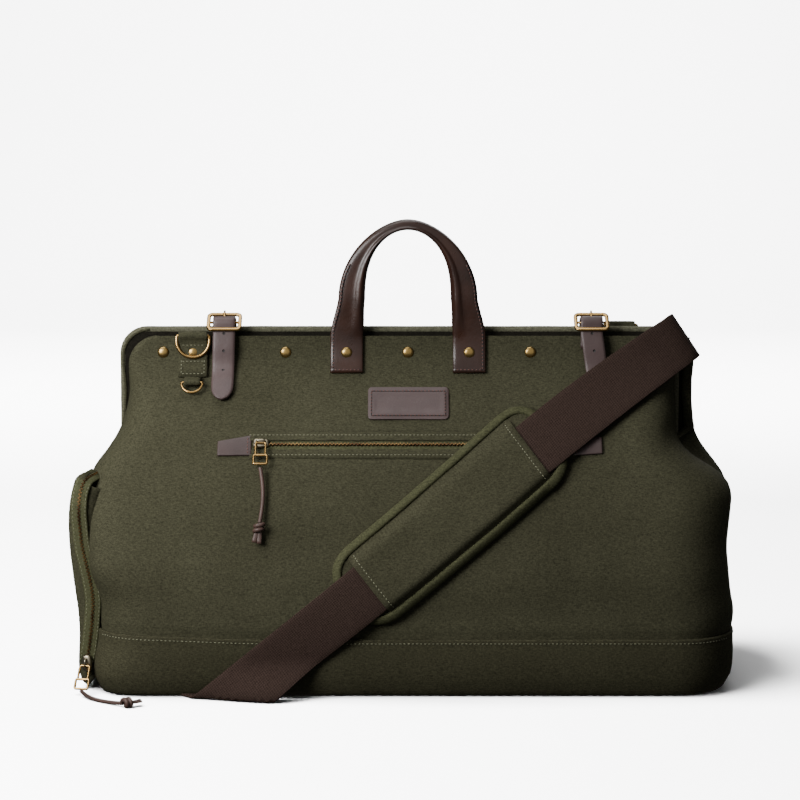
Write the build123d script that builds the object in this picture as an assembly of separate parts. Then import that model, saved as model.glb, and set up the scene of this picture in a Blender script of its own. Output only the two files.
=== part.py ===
from build123d import *
import os
from math import atan2, cos, hypot, radians, sin, tan

# A doctor bag of waxed canvas with leather trim.  Millimetres, +Z up.  The origin is the middle
# of the base on the floor, +X is to the right as seen from the front, and the front faces -Y.

# ---------------------------------------------------------------- driving dimensions
BASE_SKIN = 4.0          # thickness of the bottom panel
BAND_TOP = 47.0          # height of the seam above the base band
CLOTH = 3.0              # thickness of a canvas wall with its backing
MOUTH_GAP = 1.0          # half of the gap between the two closed halves of the mouth
PIVOT_Z = 195.0          # height of the pivots of the steel frames
PIVOT_R = 2.5            # radius of the pivot rivets
PIN_PLAY = 0.05          # radial clearance of a pin in its hole
RIVET_Z = 276.5          # height of the rivet row
RIVET_PITCH = 52.4
RIVET_SHANK = 1.5
END_SPLIT = 256.0        # half length at which the front panel meets the end panels
FOLD_Z = (170.0, 250.0)  # the stretch of the back panel that folds as the mouth opens

# half depth of the bag at each height, from the floor to the top of the frame
PROFILE = [(0, 113.5), (14, 117), (47, 119.5), (100, 114), (150, 98),
           (195, 70), (230, 41), (266, 11), (292, 8), (296, 8)]
# height, half length, corner radius of the lower shell
TUB = [(4, 264, 45), (14, 269, 48), (47, 272, 50), (100, 268, 50),
       (150, 271, 50), (180, 264, 46), (195, 243, 40)]

FRONT_TOP = 292.0
FRONT_HALF = 235.0
BACK_TOP = 296.0
BACK_HALF = 243.0

ZIP_Z = 203.9            # centre line of the front pocket's zip
ZIP_X = (-131.0, 138.0)
ZIP_CENTRE = sum(ZIP_X) / 2
ZIP_LENGTH = ZIP_X[1] - ZIP_X[0]
STRAP_WIDTH = 44.0
# the middle line of the shoulder strap across the front, as (x, z)
STRAP_LINE = [(-145.5, 0.6), (-31.6, 92.8), (37.0, 149.8), (107.4, 203.9), (214.0, 276.0)]
BILLET_X = 157.2         # half distance between the closing straps
RING_TAB_X = 183.8       # distance of the ring tabs from the middle
HANDLE_X = 52.4          # half distance between the feet of a handle


# ---------------------------------------------------------------- helpers
def depth_at(z):
    """Half depth of the bag at height z."""
    for (z0, d0), (z1, d1) in zip(PROFILE, PROFILE[1:]):
        if z <= z1:
            return d0 + (d1 - d0) * (z - z0) / (z1 - z0)
    return PROFILE[-1][1]


def write(node, *shapes):
    """Write one node; several shapes become a group of separate solids."""
    solids = [solid for shape in shapes for solid in shape.solids()]
    shape = solids[0] if len(solids) == 1 else Compound(children=solids)
    export_step(shape, f"parts/{node}.step")


def yz_prism(points, x0, x1):
    """A polygon of (y, z) points, extruded from x0 to x1."""
    outline = Plane.YZ.offset(x0) * Polygon(*points, align=None)
    return extrude(outline, amount=x1 - x0, dir=(1, 0, 0))


def xz_prism(sketch, y0, y1):
    """A sketch in (x, z), extruded from y0 to y1."""
    return extrude(Plane.XZ.offset(-y1) * sketch, amount=y1 - y0, dir=(0, -1, 0))


def rounded(x, z, width, height, radius):
    """A rounded rectangle in (x, z) about its centre."""
    return Pos(x, z) * RectangleRounded(width, height, radius)


def block(x0, x1, y0, y1, z0, z1):
    return Pos((x0 + x1) / 2, (y0 + y1) / 2, (z0 + z1) / 2) * Box(x1 - x0, y1 - y0, z1 - z0)


def ribbon(points, thickness):
    """The outline of a strip of constant thickness about an open line of points."""
    normals = []
    for (a0, b0), (a1, b1) in zip(points, points[1:]):
        length = hypot(a1 - a0, b1 - b0)
        normals.append(((b0 - b1) / length, (a1 - a0) / length))
    left = []
    right = []
    for index, (a, b) in enumerate(points):
        before = normals[max(index - 1, 0)]
        after = normals[min(index, len(normals) - 1)]
        mitre = 1 + before[0] * after[0] + before[1] * after[1]
        da = (before[0] + after[0]) / mitre * thickness / 2
        db = (before[1] + after[1]) / mitre * thickness / 2
        left.append((a + da, b + db))
        right.append((a - da, b - db))
    return left + right[::-1]


def skin(near, far, sketch, side=-1):
    """A layer on the bag's front (side -1) or back (+1), cut to a sketch in (x, z)."""
    inner = [(side * (depth + near), z) for z, depth in PROFILE]
    outer = [(side * (depth + far), z) for z, depth in reversed(PROFILE)]
    layer = yz_prism(inner + outer, -300, 300)
    return layer & xz_prism(sketch, -140, 140)


def on_front(x, z, out=0.0, side=-1):
    """A plane lying on the slope of the front or back: x along X, y up the slope, z outward."""
    rise = 1.0
    slope = atan2(depth_at(z) - depth_at(z + rise), rise)
    normal = Vector(0, side * cos(slope), sin(slope))
    origin = Vector(x, side * depth_at(z), z) + normal * out
    return Plane(origin=origin, x_dir=(-side, 0, 0), z_dir=normal)


def rod(start, end, radius):
    """A round bar between two points."""
    start = Vector(*start)
    along = Vector(*end) - start
    return extrude(Plane(origin=start, z_dir=along) * Circle(radius), amount=along.length)


def bent_wire(corners, radius, bend, closed=True):
    """Round wire in the xy plane along a line of corners, each bent to an arc."""
    path = FilletPolyline(*corners, radius=bend, close=closed)
    start = Plane(origin=path @ 0, z_dir=path % 0)
    return sweep(start * Circle(radius), path=path)


# ---------------------------------------------------------------- the lower shell
def tub_solid(inset, low=4.0, high=195.0):
    """The outer form of the lower shell, pulled in by inset."""
    sections = []
    for z, half_length, corner in TUB:
        outline = RectangleRounded(2 * (half_length - inset), 2 * (depth_at(z) - inset),
                                   corner - inset)
        sections.append(Pos(0, 0, z) * outline)
    form = loft(sections, ruled=True)
    return form & block(-300, 300, -150, 150, low, high)


def tub_shell(inset, thickness, low, high):
    return tub_solid(inset, low, high) - tub_solid(inset + thickness, low, high)


def upper_outline(half, top, low, corner=24.0):
    """The part of the front or back above the lower shell, with rounded top corners."""
    tall = 2 * (top - low)
    outline = rounded(0, top - tall / 2, 2 * half, tall, corner)
    return outline & Pos(0, (top + low) / 2) * Rectangle(2 * half + 2, top - low)


def under_heading(z):
    """The plane of the strap where it runs under the base."""
    return Plane(origin=(-182.8, 0, z), x_dir=(-0.3, 0.95, 0), z_dir=(0, 0, 1))


def strap_channel():
    """The shallow way under the base that the shoulder strap runs through."""
    return extrude(under_heading(0) * Rectangle(300, STRAP_WIDTH + 6), amount=2.6)


def shell_pieces():
    """Base, band, front, back and end panels, the lining and the folding gussets."""
    foot = loft([Pos(0, 0, 0) * RectangleRounded(520, 219, 42),
                 Pos(0, 0, BASE_SKIN) * RectangleRounded(528, 2 * depth_at(4), 45)], ruled=True)
    write("base_panel", foot - strap_channel())
    write("base_board", extrude(Pos(0, 0, BASE_SKIN) * RectangleRounded(508, 210, 36), amount=2.5))
    write("base_band", tub_shell(0, CLOTH, BASE_SKIN, BAND_TOP))

    walls = tub_shell(0, CLOTH, BAND_TOP, PIVOT_Z)
    middle = block(-END_SPLIT, END_SPLIT, -150, 150, 0, 300)
    front_half = block(-300, 300, -150, 0, 0, 300)
    back_half = block(-300, 300, 0, 150, 0, 300)
    below_fold = block(-300, 300, -150, 150, 0, FOLD_Z[0])

    upper = skin(-CLOTH, 0, upper_outline(FRONT_HALF, FRONT_TOP, 185))
    slot = skin(-CLOTH - 1, 1, Pos(ZIP_CENTRE, ZIP_Z) * Rectangle(ZIP_LENGTH, 7.6))
    front = (walls & middle & front_half) + upper - slot
    for x in rivet_row() + [-RING_TAB_X]:
        front -= rivet_hole(x)
    write("front_panel", front)

    back_wall = walls & middle & back_half
    write("back_panel_lower", back_wall & below_fold)
    back_upper = skin(-CLOTH, 0, upper_outline(BACK_HALF, BACK_TOP, 185), side=1)
    fold = (back_wall - below_fold) + (back_upper & block(-300, 300, 0, 150, 185, FOLD_Z[1]))
    write("back_panel_fold", fold)
    top_strip = back_upper & block(-300, 300, 0, 150, FOLD_Z[1] + 0.4, 300)
    for x in rivet_row() + [RING_TAB_X]:
        top_strip -= rivet_hole(x, side=1)
    write("back_panel_upper", top_strip)

    for name, sign in (("left_end_panel", -1), ("right_end_panel", 1)):
        end = block(*sorted((sign * END_SPLIT, sign * 300)), -150, 150, 0, 300)
        write(name, walls & end)

    write("lining", tub_shell(7.0, 1.0, 7.0, 168.0))
    wing = [(-64, 198), (64, 198), (14, 257), (-14, 257)]
    write("gussets", yz_prism(wing, -205.0, -202.0), yz_prism(wing, 202.0, 205.0))


# ---------------------------------------------------------------- the end pocket
# outer outline of the left end pocket, as (x, z)
POCKET_TOP = 182.0
POCKET = [(-268, 0.4), (-276, 12), (-276, 50), (-280, 92), (-283.5, 131),
          (-283, 152), (-279, 168), (-271, 178), (-257, POCKET_TOP)]
POCKET_HALF = 88.0       # half width of the pocket along Y


def pocket_form(inset, half_width):
    """The pocket's outer form, pulled in by inset, back to inside the bag's end."""
    moved = [(x + inset, z) for x, z in POCKET[:-2]]
    moved += [(x + inset / 2, z - inset) for x, z in POCKET[-2:]]
    outline = Polygon(*(moved + [(-230, POCKET_TOP - inset), (-230, 0.4)]), align=None)
    return xz_prism(outline, -half_width, half_width)


def end_pocket():
    """The bulging flap on the left end, and the zip that runs up, over and down its edge."""
    bag = tub_solid(0)
    foot = block(-264.2, 0, -150, 150, 0, 4.4)
    shell = pocket_form(0, POCKET_HALF) - pocket_form(2.5, POCKET_HALF - 2.5)
    shell = shell - bag - foot
    shell = shell & block(-300, -255, -150, 150, 0.4, POCKET_TOP - 2)
    write("end_pocket_flap", max(shell.solids(), key=lambda solid: solid.volume))

    path = [(x + 9, z) for x, z in POCKET[1:7]]
    chain_line = Polygon(*ribbon(path, 5.0), align=None)
    front_chain = xz_prism(chain_line, -POCKET_HALF - 2.2, -POCKET_HALF)
    back_chain = xz_prism(chain_line, POCKET_HALF, POCKET_HALF + 2.2)
    tape_line = Polygon(*ribbon([(x + 14, z) for x, z in POCKET[1:7]], 4.6), align=None)
    front_tape = xz_prism(tape_line, -POCKET_HALF - 1.2, -POCKET_HALF)
    back_tape = xz_prism(tape_line, POCKET_HALF, POCKET_HALF + 1.2)
    write("end_zip_chain", front_chain - bag, back_chain - bag)
    write("end_zip_tape", front_tape - bag, back_tape - bag)


# ---------------------------------------------------------------- steel frames
def frame_bar(half, top, low, y0, y1, width=14.0):
    """A flat steel bar bent to a U with its legs down."""
    tall = 2 * (top - low)
    outer = rounded(0, top - tall / 2, 2 * half, tall, 24)
    inner = rounded(0, top - width - tall / 2, 2 * (half - width), tall, 12)
    upper_half = Pos(0, (top + low) / 2) * Rectangle(2 * half + 2, top - low)
    return xz_prism((outer - inner) & upper_half, y0, y1)


def lug(x0, x1, y0, y1, hole):
    """The eye at the foot of a frame leg; its plate faces along X."""
    plate = block(x0, x1, y0, y1, PIVOT_Z - 8, PIVOT_Z + 11)
    return plate - rod((x0 - 1, 0, PIVOT_Z), (x1 + 1, 0, PIVOT_Z), hole)


FRAME_Y = (MOUTH_GAP + 1.5, MOUTH_GAP + 4.0)


def frames():
    near, far = FRAME_Y
    front = frame_bar(226.5, 288, 203, -far, -near)
    back = frame_bar(242, 292, 203, near, far)
    for sign in (-1, 1):
        front += lug(*sorted((sign * 224.0, sign * 226.5)), -far, 7, PIVOT_R)
        back += lug(*sorted((sign * 228.0, sign * 230.5)), -7, far, PIVOT_R + PIN_PLAY)
    for x in rivet_row():
        front -= rivet_hole(x)
        back -= rivet_hole(x, side=1)
    front -= rivet_hole(-RING_TAB_X)
    back -= rivet_hole(RING_TAB_X, side=1)
    write("front_frame", front)
    write("back_frame", back)

    pins = []
    for sign in (-1, 1):
        shank = rod((sign * 222.5, 0, PIVOT_Z), (sign * 231.0, 0, PIVOT_Z), PIVOT_R)
        inner_head = rod((sign * 222.0, 0, PIVOT_Z), (sign * 223.9, 0, PIVOT_Z), 4.5)
        outer_head = rod((sign * 230.6, 0, PIVOT_Z), (sign * 232.2, 0, PIVOT_Z), 4.5)
        pins.append(shank + inner_head + outer_head)
    write("pivot_rivets", *pins)


def facings():
    """The stiff strips that face each frame inside the mouth."""
    front = frame_bar(229, 290, 212, -MOUTH_GAP - 1.5, -MOUTH_GAP, 22)
    back = frame_bar(240, 294, 212, MOUTH_GAP, MOUTH_GAP + 1.5, 22)
    for x in rivet_row():
        front -= rivet_hole(x)
        back -= rivet_hole(x, side=1)
    front -= rivet_hole(-RING_TAB_X)
    back -= rivet_hole(RING_TAB_X, side=1)
    write("front_facing", front)
    write("back_facing", back)


# ---------------------------------------------------------------- rivets
def rivet_row():
    return [RIVET_PITCH * number for number in range(-4, 5)]


def rivet_hole(x, side=-1):
    return rod((x, side * 0.2, RIVET_Z), (x, side * 24, RIVET_Z), RIVET_SHANK)


def rivet(x, proud, side=-1):
    """A capped rivet through the top of the bag; proud is what lies under its cap."""
    seat = depth_at(RIVET_Z - 4.6) + proud
    shank = rod((x, side * MOUTH_GAP, RIVET_Z), (x, side * (seat + 0.5), RIVET_Z), RIVET_SHANK)
    burr = rod((x, side * 0.4, RIVET_Z), (x, side * MOUTH_GAP, RIVET_Z), 3.0)
    base = Plane(origin=(x, side * seat, RIVET_Z), z_dir=(0, side, 0))
    cap = loft([base * Circle(4.6), base.offset(1.2) * Circle(4.2), base.offset(2.1) * Circle(2.4)],
               ruled=True)
    return shank + burr + cap


def rivets():
    front = []
    back = []
    for x in rivet_row():
        on_handle = abs(abs(x) - HANDLE_X) < 1
        on_strap = abs(abs(x) - BILLET_X) < 1
        front.append(rivet(x, 3.6 if on_handle else 2.6 if on_strap else 0.0))
        back.append(rivet(x, 3.6 if on_handle or on_strap else 0.0, side=1))
    front.append(rivet(-RING_TAB_X, 2.6))
    back.append(rivet(RING_TAB_X, 2.6, side=1))
    write("front_rivets", *front)
    write("back_rivets", *back)


# ---------------------------------------------------------------- handles
HANDLE_PIVOT = (10.3, 292.0)      # |y| and z of the line that a handle folds about
ARCH_Z = 322.0           # height at which the legs of a grip end and its arch begins
ARCH_OUTER = (60.0, 67.0)         # half width and rise of the arch's outer edge
ARCH_INNER = (38.0, 58.6)


def handle(side, name):
    """One leather handle: two riveted feet on the bag and an arched grip above them."""
    feet = []
    for x in (-HANDLE_X, HANDLE_X):
        foot = skin(0.0, 3.6, rounded(x, 272.9, 28, 26.2, 4), side)
        feet.append(foot - rivet_hole(x, side))
    write(name + "_feet", *feet)

    wide = ARCH_OUTER[0]
    narrow = ARCH_INNER[0]
    foot_z = 294.6
    legs = Polygon((-66.4, foot_z), (66.4, foot_z), (wide, ARCH_Z), (-wide, ARCH_Z), align=None)
    outer = legs + Pos(0, ARCH_Z) * Ellipse(*ARCH_OUTER)
    between = Pos(0, ARCH_Z - 14) * Rectangle(2 * narrow, 28)
    arch = outer - Pos(0, ARCH_Z) * Ellipse(*ARCH_INNER) - between
    arch = arch & Pos(0, 360) * Rectangle(140, 2 * (360 - foot_z))
    middle = side * HANDLE_PIVOT[0]
    thin = xz_prism(arch, middle - 2, middle + 2)
    roll = xz_prism(arch & Pos(0, 360) * Rectangle(140, 80), middle - 4, middle + 4)
    if side > 0:
        roll = roll & block(-100, 100, 5.8, 20, 300, 400)
    else:
        roll = roll & block(-100, 100, -20, -5.8, 300, 400)
    write(name + "_grip", thin + roll)


# ---------------------------------------------------------------- rings and their tabs
LARGE_BAR_R = 1.5
SMALL_BAR_R = 1.1
FRONT_RING_HANG = 10     # degrees that a large ring hangs out from the vertical
BACK_RING_HANG = 44


def large_ring_centre(side):
    """y and z of the straight bar of the large ring."""
    return (side * 13.0, 291.0 if side < 0 else 298.0)


def small_ring_centre(side):
    return (side * 28.5, 252.6)


def ring_tab(x, side, name):
    """A canvas tab folded round the large ring, with a small loop for the small ring below."""
    y, z = large_ring_centre(side)
    body = skin(0.0, 2.6, rounded(x, 272, 25, 31, 2), side)
    roll = rod((x - 12.3, y, z), (x + 12.3, y, z), 3.4)
    bridge = block(x - 12.3, x + 12.3, *sorted((side * 8.7, side * 11.4)), 286.5, z + 2.6)
    bore = rod((x - 13, y, z), (x + 13, y, z), LARGE_BAR_R + PIN_PLAY)
    tab = (body + roll + bridge) - bore - rivet_hole(x, side)

    y, z = small_ring_centre(side)
    loop = rod((x - 7, y, z), (x + 7, y, z), 2.8)
    neck = block(x - 7, x + 7, y - 1.0, y + 1.0, z, z + 4.5)
    small_bore = rod((x - 8, y, z), (x + 8, y, z), SMALL_BAR_R + PIN_PLAY)
    wall = skin(-CLOTH, 0, rounded(x, 250, 60, 60, 1), side)
    small = (loop + neck) - small_bore - body - wall
    write(name + "_ring_tab", tab, max(small.solids(), key=lambda solid: solid.volume))


def d_ring(width, drop, radius):
    """A D of round wire in the xy plane: a straight bar on the x axis and a bow along +y."""
    half = width / 2
    leg = max(drop - half, 0.2)
    path = Line((half, 0), (half, leg)) + CenterArc((0, leg), half, 0, 180)
    path += Line((-half, leg), (-half, 0))
    bow = sweep(Plane(origin=(half, 0, 0), z_dir=(0, 1, 0)) * Circle(radius), path=path)
    ring = bow + rod((-half, 0, 0), (half, 0, 0), radius)
    for x in (-half, half):
        ring += Pos(x, 0) * Sphere(radius * 1.02)
    return ring


def hanging_plane(x, centre, hang):
    """A plane hung from a bar along X, with its y downward and swung out by hang degrees."""
    lean = radians(hang)
    return Plane(origin=(x, *centre), x_dir=(1, 0, 0), z_dir=(0, cos(lean), sin(lean)))


def rings():
    for name, side, hang in (("front", -1, FRONT_RING_HANG), ("back", 1, BACK_RING_HANG)):
        x = side * RING_TAB_X
        ring_tab(x, side, name)
        large = hanging_plane(x, large_ring_centre(side), side * hang)
        write(name + "_ring_large", large * d_ring(28.0, 18.5, LARGE_BAR_R))
        small = hanging_plane(x, small_ring_centre(side), side * 30)
        write(name + "_ring_small", small * d_ring(18.0, 9.2, SMALL_BAR_R))


# ---------------------------------------------------------------- closing straps
BUCKLE_CENTRE = (-9.0, 302.0)       # y and z of a buckle's middle bar
BUCKLE_LEAN = (0.816, 0.577)        # direction of the buckle's plane in (y, z), to its far bar
# the middle of a billet in (y, z): up the back, over the top, through the buckle, down the front
BILLET_LINE = [(12.8, 267), (11.4, 279), (9.8, 296.8), (6.0, 303.4), (0.4, 304.6), (-10.0, 306.6),
               (-12.9, 304.6), (-13.0, 296.0), (-14.9, 290.0), (-16.8, 281.0), (-16.9, 272.0),
               (-17.2, 266.5), (-20.6, 257.5), (-37.7, 238.6)]


def buckle_point(reach):
    return (BUCKLE_CENTRE[0] + BUCKLE_LEAN[0] * reach, BUCKLE_CENTRE[1] + BUCKLE_LEAN[1] * reach)


def closure(x, name):
    """One closing strap: chape and buckle on the front, and the billet from the back."""
    half = 13.2
    corners = [(half, -8.6), (half, 10.4), (-half, 10.4), (-half, -8.6)]
    frame = bent_wire(corners, 1.3, 3.0) + rod((-half, 0, 0), (half, 0, 0), 1.2)
    lean = Plane(origin=(x, *BUCKLE_CENTRE), x_dir=(1, 0, 0),
                 z_dir=(0, -BUCKLE_LEAN[1], BUCKLE_LEAN[0]))
    write(name + "_buckle", lean * frame)

    eye = rod((x - 1.4, *BUCKLE_CENTRE), (x + 1.4, *BUCKLE_CENTRE), 2.1)
    tip = buckle_point(12.6)
    out = (-BUCKLE_LEAN[1] * 1.9, BUCKLE_LEAN[0] * 1.9)
    start = (x, BUCKLE_CENTRE[0] + out[0], BUCKLE_CENTRE[1] + out[1])
    end = (x, tip[0] + out[0] * 1.45, tip[1] + out[1] * 1.45)
    prong = rod(start, end, 0.9) + eye
    prong -= rod((x - 2, *BUCKLE_CENTRE), (x + 2, *BUCKLE_CENTRE), 1.2 + PIN_PLAY)
    write(name + "_prong", prong)

    lower = skin(0.0, 2.6, rounded(x, 278, 19, 26, 5))
    neck = block(x - 9.5, x + 9.5, -11.4, -8.7, 287, 300.4)
    wrap = rod((x - 9.5, *BUCKLE_CENTRE), (x + 9.5, *BUCKLE_CENTRE), 2.1)
    chape = lower + neck + wrap
    chape -= rod((x - 10, *BUCKLE_CENTRE), (x + 10, *BUCKLE_CENTRE), 1.2 + PIN_PLAY)
    chape -= block(x - 1.8, x + 1.8, -14, -4, 298.6, 306)
    chape = chape - rivet_hole(x)

    strap = yz_prism(ribbon(BILLET_LINE, 3.0), x - 9.5, x + 9.5)
    prong_slot = rod(start, end, 1.35)
    write(name + "_billet", strap - rivet_hole(x, side=1) - prong_slot)
    return chape


# ---------------------------------------------------------------- label and front pocket
def label():
    write("label_patch", skin(0.0, 2.2, rounded(0.3, 236.2, 68.6, 24.8, 3)))


def front_pocket():
    """The zipped pocket in the front panel, with its hanging pouch inside."""
    middle = Pos(ZIP_CENTRE, ZIP_Z)
    write("front_zip_tape", skin(-CLOTH - 1.0, -CLOTH, middle * Rectangle(ZIP_LENGTH, 18)))
    write("front_zip_chain", skin(-CLOTH, 0.6, middle * Rectangle(ZIP_LENGTH - 2, 5.6)))
    pouch_outline = rounded(ZIP_CENTRE, 160, ZIP_LENGTH + 10, 104, 12)
    write("front_pocket_pouch", skin(-CLOTH - 3.2, -CLOTH - 1.2, pouch_outline))
    left = Polygon((-160, 195.5), (-131.5, 193.4), (-131.5, 208.6), (-160, 206.6), align=None)
    right = Polygon((138, 195), (163, 198), (163, 210.4), (138, 211), align=None)
    write("zip_tabs", skin(0.0, 2.0, left), skin(0.0, 2.0, right))


SLIDER_X = -123.5        # middle of the front slider when the pocket is closed
PULL_WIRE_R = 0.9
PULL_HINGE = (-1.5, 5.6)  # of the pull's bar, up and out from the slider's middle
END_PULL_LEAN = radians(35)


def slider(plane, size, name):
    """A zip slider: a plate over the chain with a bridge that holds the pull."""
    plate = plane * Pos(0, 0, 2.4) * Box(*size, 3.0)
    bridge = plane * Pos(0, PULL_HINGE[0], PULL_HINGE[1]) * Box(4, 3.6, 3.4)
    bore = Pos(0, PULL_HINGE[0], PULL_HINGE[1]) * Rot(0, 90, 0) * Cylinder(PULL_WIRE_R + PIN_PLAY, 20)
    write(name + "_slider", plate + bridge - plane * bore)


def pull(plane, lean, name):
    """The wire pull: a narrow loop through the bridge and a square loop for the lace."""
    narrow = bent_wire([(3.6, 0), (3.6, 12), (-3.6, 12), (-3.6, 0)], PULL_WIRE_R, 1.2)
    square = bent_wire([(5.4, 12), (5.4, 20.5), (-5.4, 20.5), (-5.4, 12)], PULL_WIRE_R * 1.03, 1.2)
    hang = Plane(origin=(0, *PULL_HINGE), x_dir=(1, 0, 0), z_dir=(0, -sin(lean), -cos(lean)))
    write(name + "_pull", plane * (hang.location * (narrow + square)))


def lace(points, radius, name):
    """A leather lace as one tube of straight runs and tangent arcs."""
    runs = [Vector(*b) - Vector(*a) for a, b in zip(points, points[1:])]
    radii = []
    for before, after in zip(runs, runs[1:]):
        turn = radians(before.get_angle(after))
        shorter = min(before.length, after.length)
        radii.append(0.45 * shorter / tan(turn / 2))
    path = FilletPolyline(*points, radius=radii)
    start = Plane(origin=points[0], z_dir=runs[0])
    tube = sweep(start * Circle(radius), path=path)
    print(name, "length", round(path.length, 1))
    write(name, tube)


LACE_R = 1.7
FRONT_LACE = [(-123.2, -83.4, 187.4), (-121.2, -87.6, 177.0), (-120.4, -93.2, 166.0),
              (-121.0, -99.4, 155.0), (-122.8, -104.8, 144.6)]
END_LACE = [(-271.2, -112.8, 4.4), (-265.5, -123.0, 2.4), (-256.4, -132.6, 1.8),
            (-245.0, -141.4, 1.9), (-233.0, -149.6, 3.0)]


def knot(centre, along, name):
    """The knot that ends a lace, with its two short tails."""
    middle = Vector(*centre)
    ahead = Vector(*along).normalized()
    tail_start = middle + ahead * 3.0
    tail_end = middle + ahead * 12.5
    body = Pos(*middle) * Sphere(4.0)
    tails = rod(tuple(tail_start), tuple(tail_end), 2.0)
    write(name, body + tails)


def zip_hardware():
    front = on_front(SLIDER_X, ZIP_Z)
    slider(front, (14, 9), "front_zip")
    pull(front, 0.0, "front_zip")
    lace(FRONT_LACE, LACE_R, "front_pull_lace")
    knot((-123.4, -106.6, 140.4), (-0.15, -0.2, -1), "front_pull_knot")

    end = Plane(origin=(-268.5, -POCKET_HALF - 4.6, 24.0), x_dir=(0.98, -0.2, 0),
                z_dir=(-0.2, -0.98, 0))
    slider(end, (9, 14), "end_zip")
    pull(end, END_PULL_LEAN, "end_zip")
    lace(END_LACE, LACE_R, "end_pull_lace")
    knot((-229.2, -152.0, 4.1), (0.85, 0.5, -0.1), "end_pull_knot")


# ---------------------------------------------------------------- shoulder strap
STRAP_OFF = (8.2, 10.4)   # the webbing's distance from the front panel
# the strap's turn round the side of the bag, as (distance along the strap, y)
TURN = [(-26, -19.1), (-8, -19.1), (0, -15), (4, -5), (4, 6), (0, 14), (-8, 16.5)]
# the slack webbing behind the bag, as (x, z): down from the turn, then up to the hook
DROP_LINE = [(230, 283), (218, 250), (208, 222)]
RISE_LINE = [(192, 212), (184, 241)]


def shoulder_strap():
    """The webbing across the front, its turn to the back, and its end under and behind the bag."""
    band = Polygon(*ribbon(STRAP_LINE, STRAP_WIDTH), align=None)
    above_floor = Polygon((-300, 0.4), (300, 0.4), (300, 400), (-300, 400), align=None)
    write("strap_front", skin(*STRAP_OFF, band & above_floor))

    pad_outline = Pos(35.0, 148.6) * Rot(0, 0, 38.6) * RectangleRounded(221, 73, 20)
    tunnel = Polygon(*ribbon(STRAP_LINE, STRAP_WIDTH + 1), align=None)
    write("shoulder_pad", skin(1.0, 16.0, pad_outline) - skin(STRAP_OFF[0] - 0.4,
                                                              STRAP_OFF[1] + 0.4, tunnel))

    turn = Plane(origin=(238, 0, 292.2), x_dir=(0.828, 0, 0.56), z_dir=(-0.56, 0, 0.828))
    strip = Polygon(*ribbon(TURN, 2.2), align=None)
    turned = extrude(turn * strip, amount=STRAP_WIDTH / 2, both=True)
    drop = skin(4.0, 6.2, Polygon(*ribbon(DROP_LINE, STRAP_WIDTH), align=None), side=1)
    rise = skin(8.0, 10.2, Polygon(*ribbon(RISE_LINE, STRAP_WIDTH), align=None), side=1)
    write("strap_turn", turned - block(-300, 300, 10, 40, 0, 296), drop, rise)

    under = extrude(under_heading(0.1) * Rectangle(270, STRAP_WIDTH), amount=2.2)
    tail = block(-250, -50, 130.5, 174.5, 0.1, 4.7)
    write("strap_end", under & block(-300, 300, -118, 129.5, 0, 5), tail)


HOOK_LINE = [(22, 0), (28, 8.5), (38, 10.5), (46.5, 6), (47.5, -4), (41, -10)]
GATE_LINE = [(27.2, -5.2), (37.0, -8.6)]
HOOK_REACH = 41.5        # from the strap's end of a hook to the wire that it holds


def snap_hook(plane, name, turned):
    """A trigger snap in the plane's xy: a strap loop, a swivel post, a hook and its gate.

    A turned hook has its swivel at a quarter turn, so that the hook stands on edge."""
    half = STRAP_WIDTH / 2 + 2
    loop = bent_wire([(0, -half), (12, -half), (12, half), (0, half)], 2.0, 3.0)
    loop += rod((11, 0, 0), (25, 0, 0), 4.0)
    hook = bent_wire(HOOK_LINE, 2.2, 3.0, closed=False)
    gate = rod((*GATE_LINE[0], 0), (*GATE_LINE[1], 0), 1.7)
    swivel = Rot(90, 0, 0) if turned else Rot(0, 0, 0)
    write(name + "_hook", plane * (loop + swivel * hook))
    write(name + "_hook_gate", plane * (swivel * gate))


def hooks():
    snap_hook(Plane(origin=(-44.0, 152.5, 4.5), x_dir=(1, 0, 0), z_dir=(0, 0, 1)), "lower", False)
    bow = hanging_plane(RING_TAB_X, large_ring_centre(1), BACK_RING_HANG)
    held = bow.from_local_coords(Vector(0, 18.5, 0))
    upward = Vector(0, -0.45, 0.89)
    upper = Plane(origin=held - upward * HOOK_REACH, x_dir=upward, z_dir=(0, 0.89, 0.45))
    snap_hook(upper, "upper", True)


os.makedirs("parts", exist_ok=True)
shell_pieces()
end_pocket()
frames()
facings()
rivets()
handle(-1, "front_handle")
handle(1, "back_handle")
rings()
write("chapes", closure(-BILLET_X, "left"), closure(BILLET_X, "right"))
label()
front_pocket()
zip_hardware()
shoulder_strap()
hooks()
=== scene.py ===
from math import atan2, cos, hypot, pi, radians, sin, sqrt

import bmesh
import bpy
from mathutils import Matrix, Vector, noise


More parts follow.
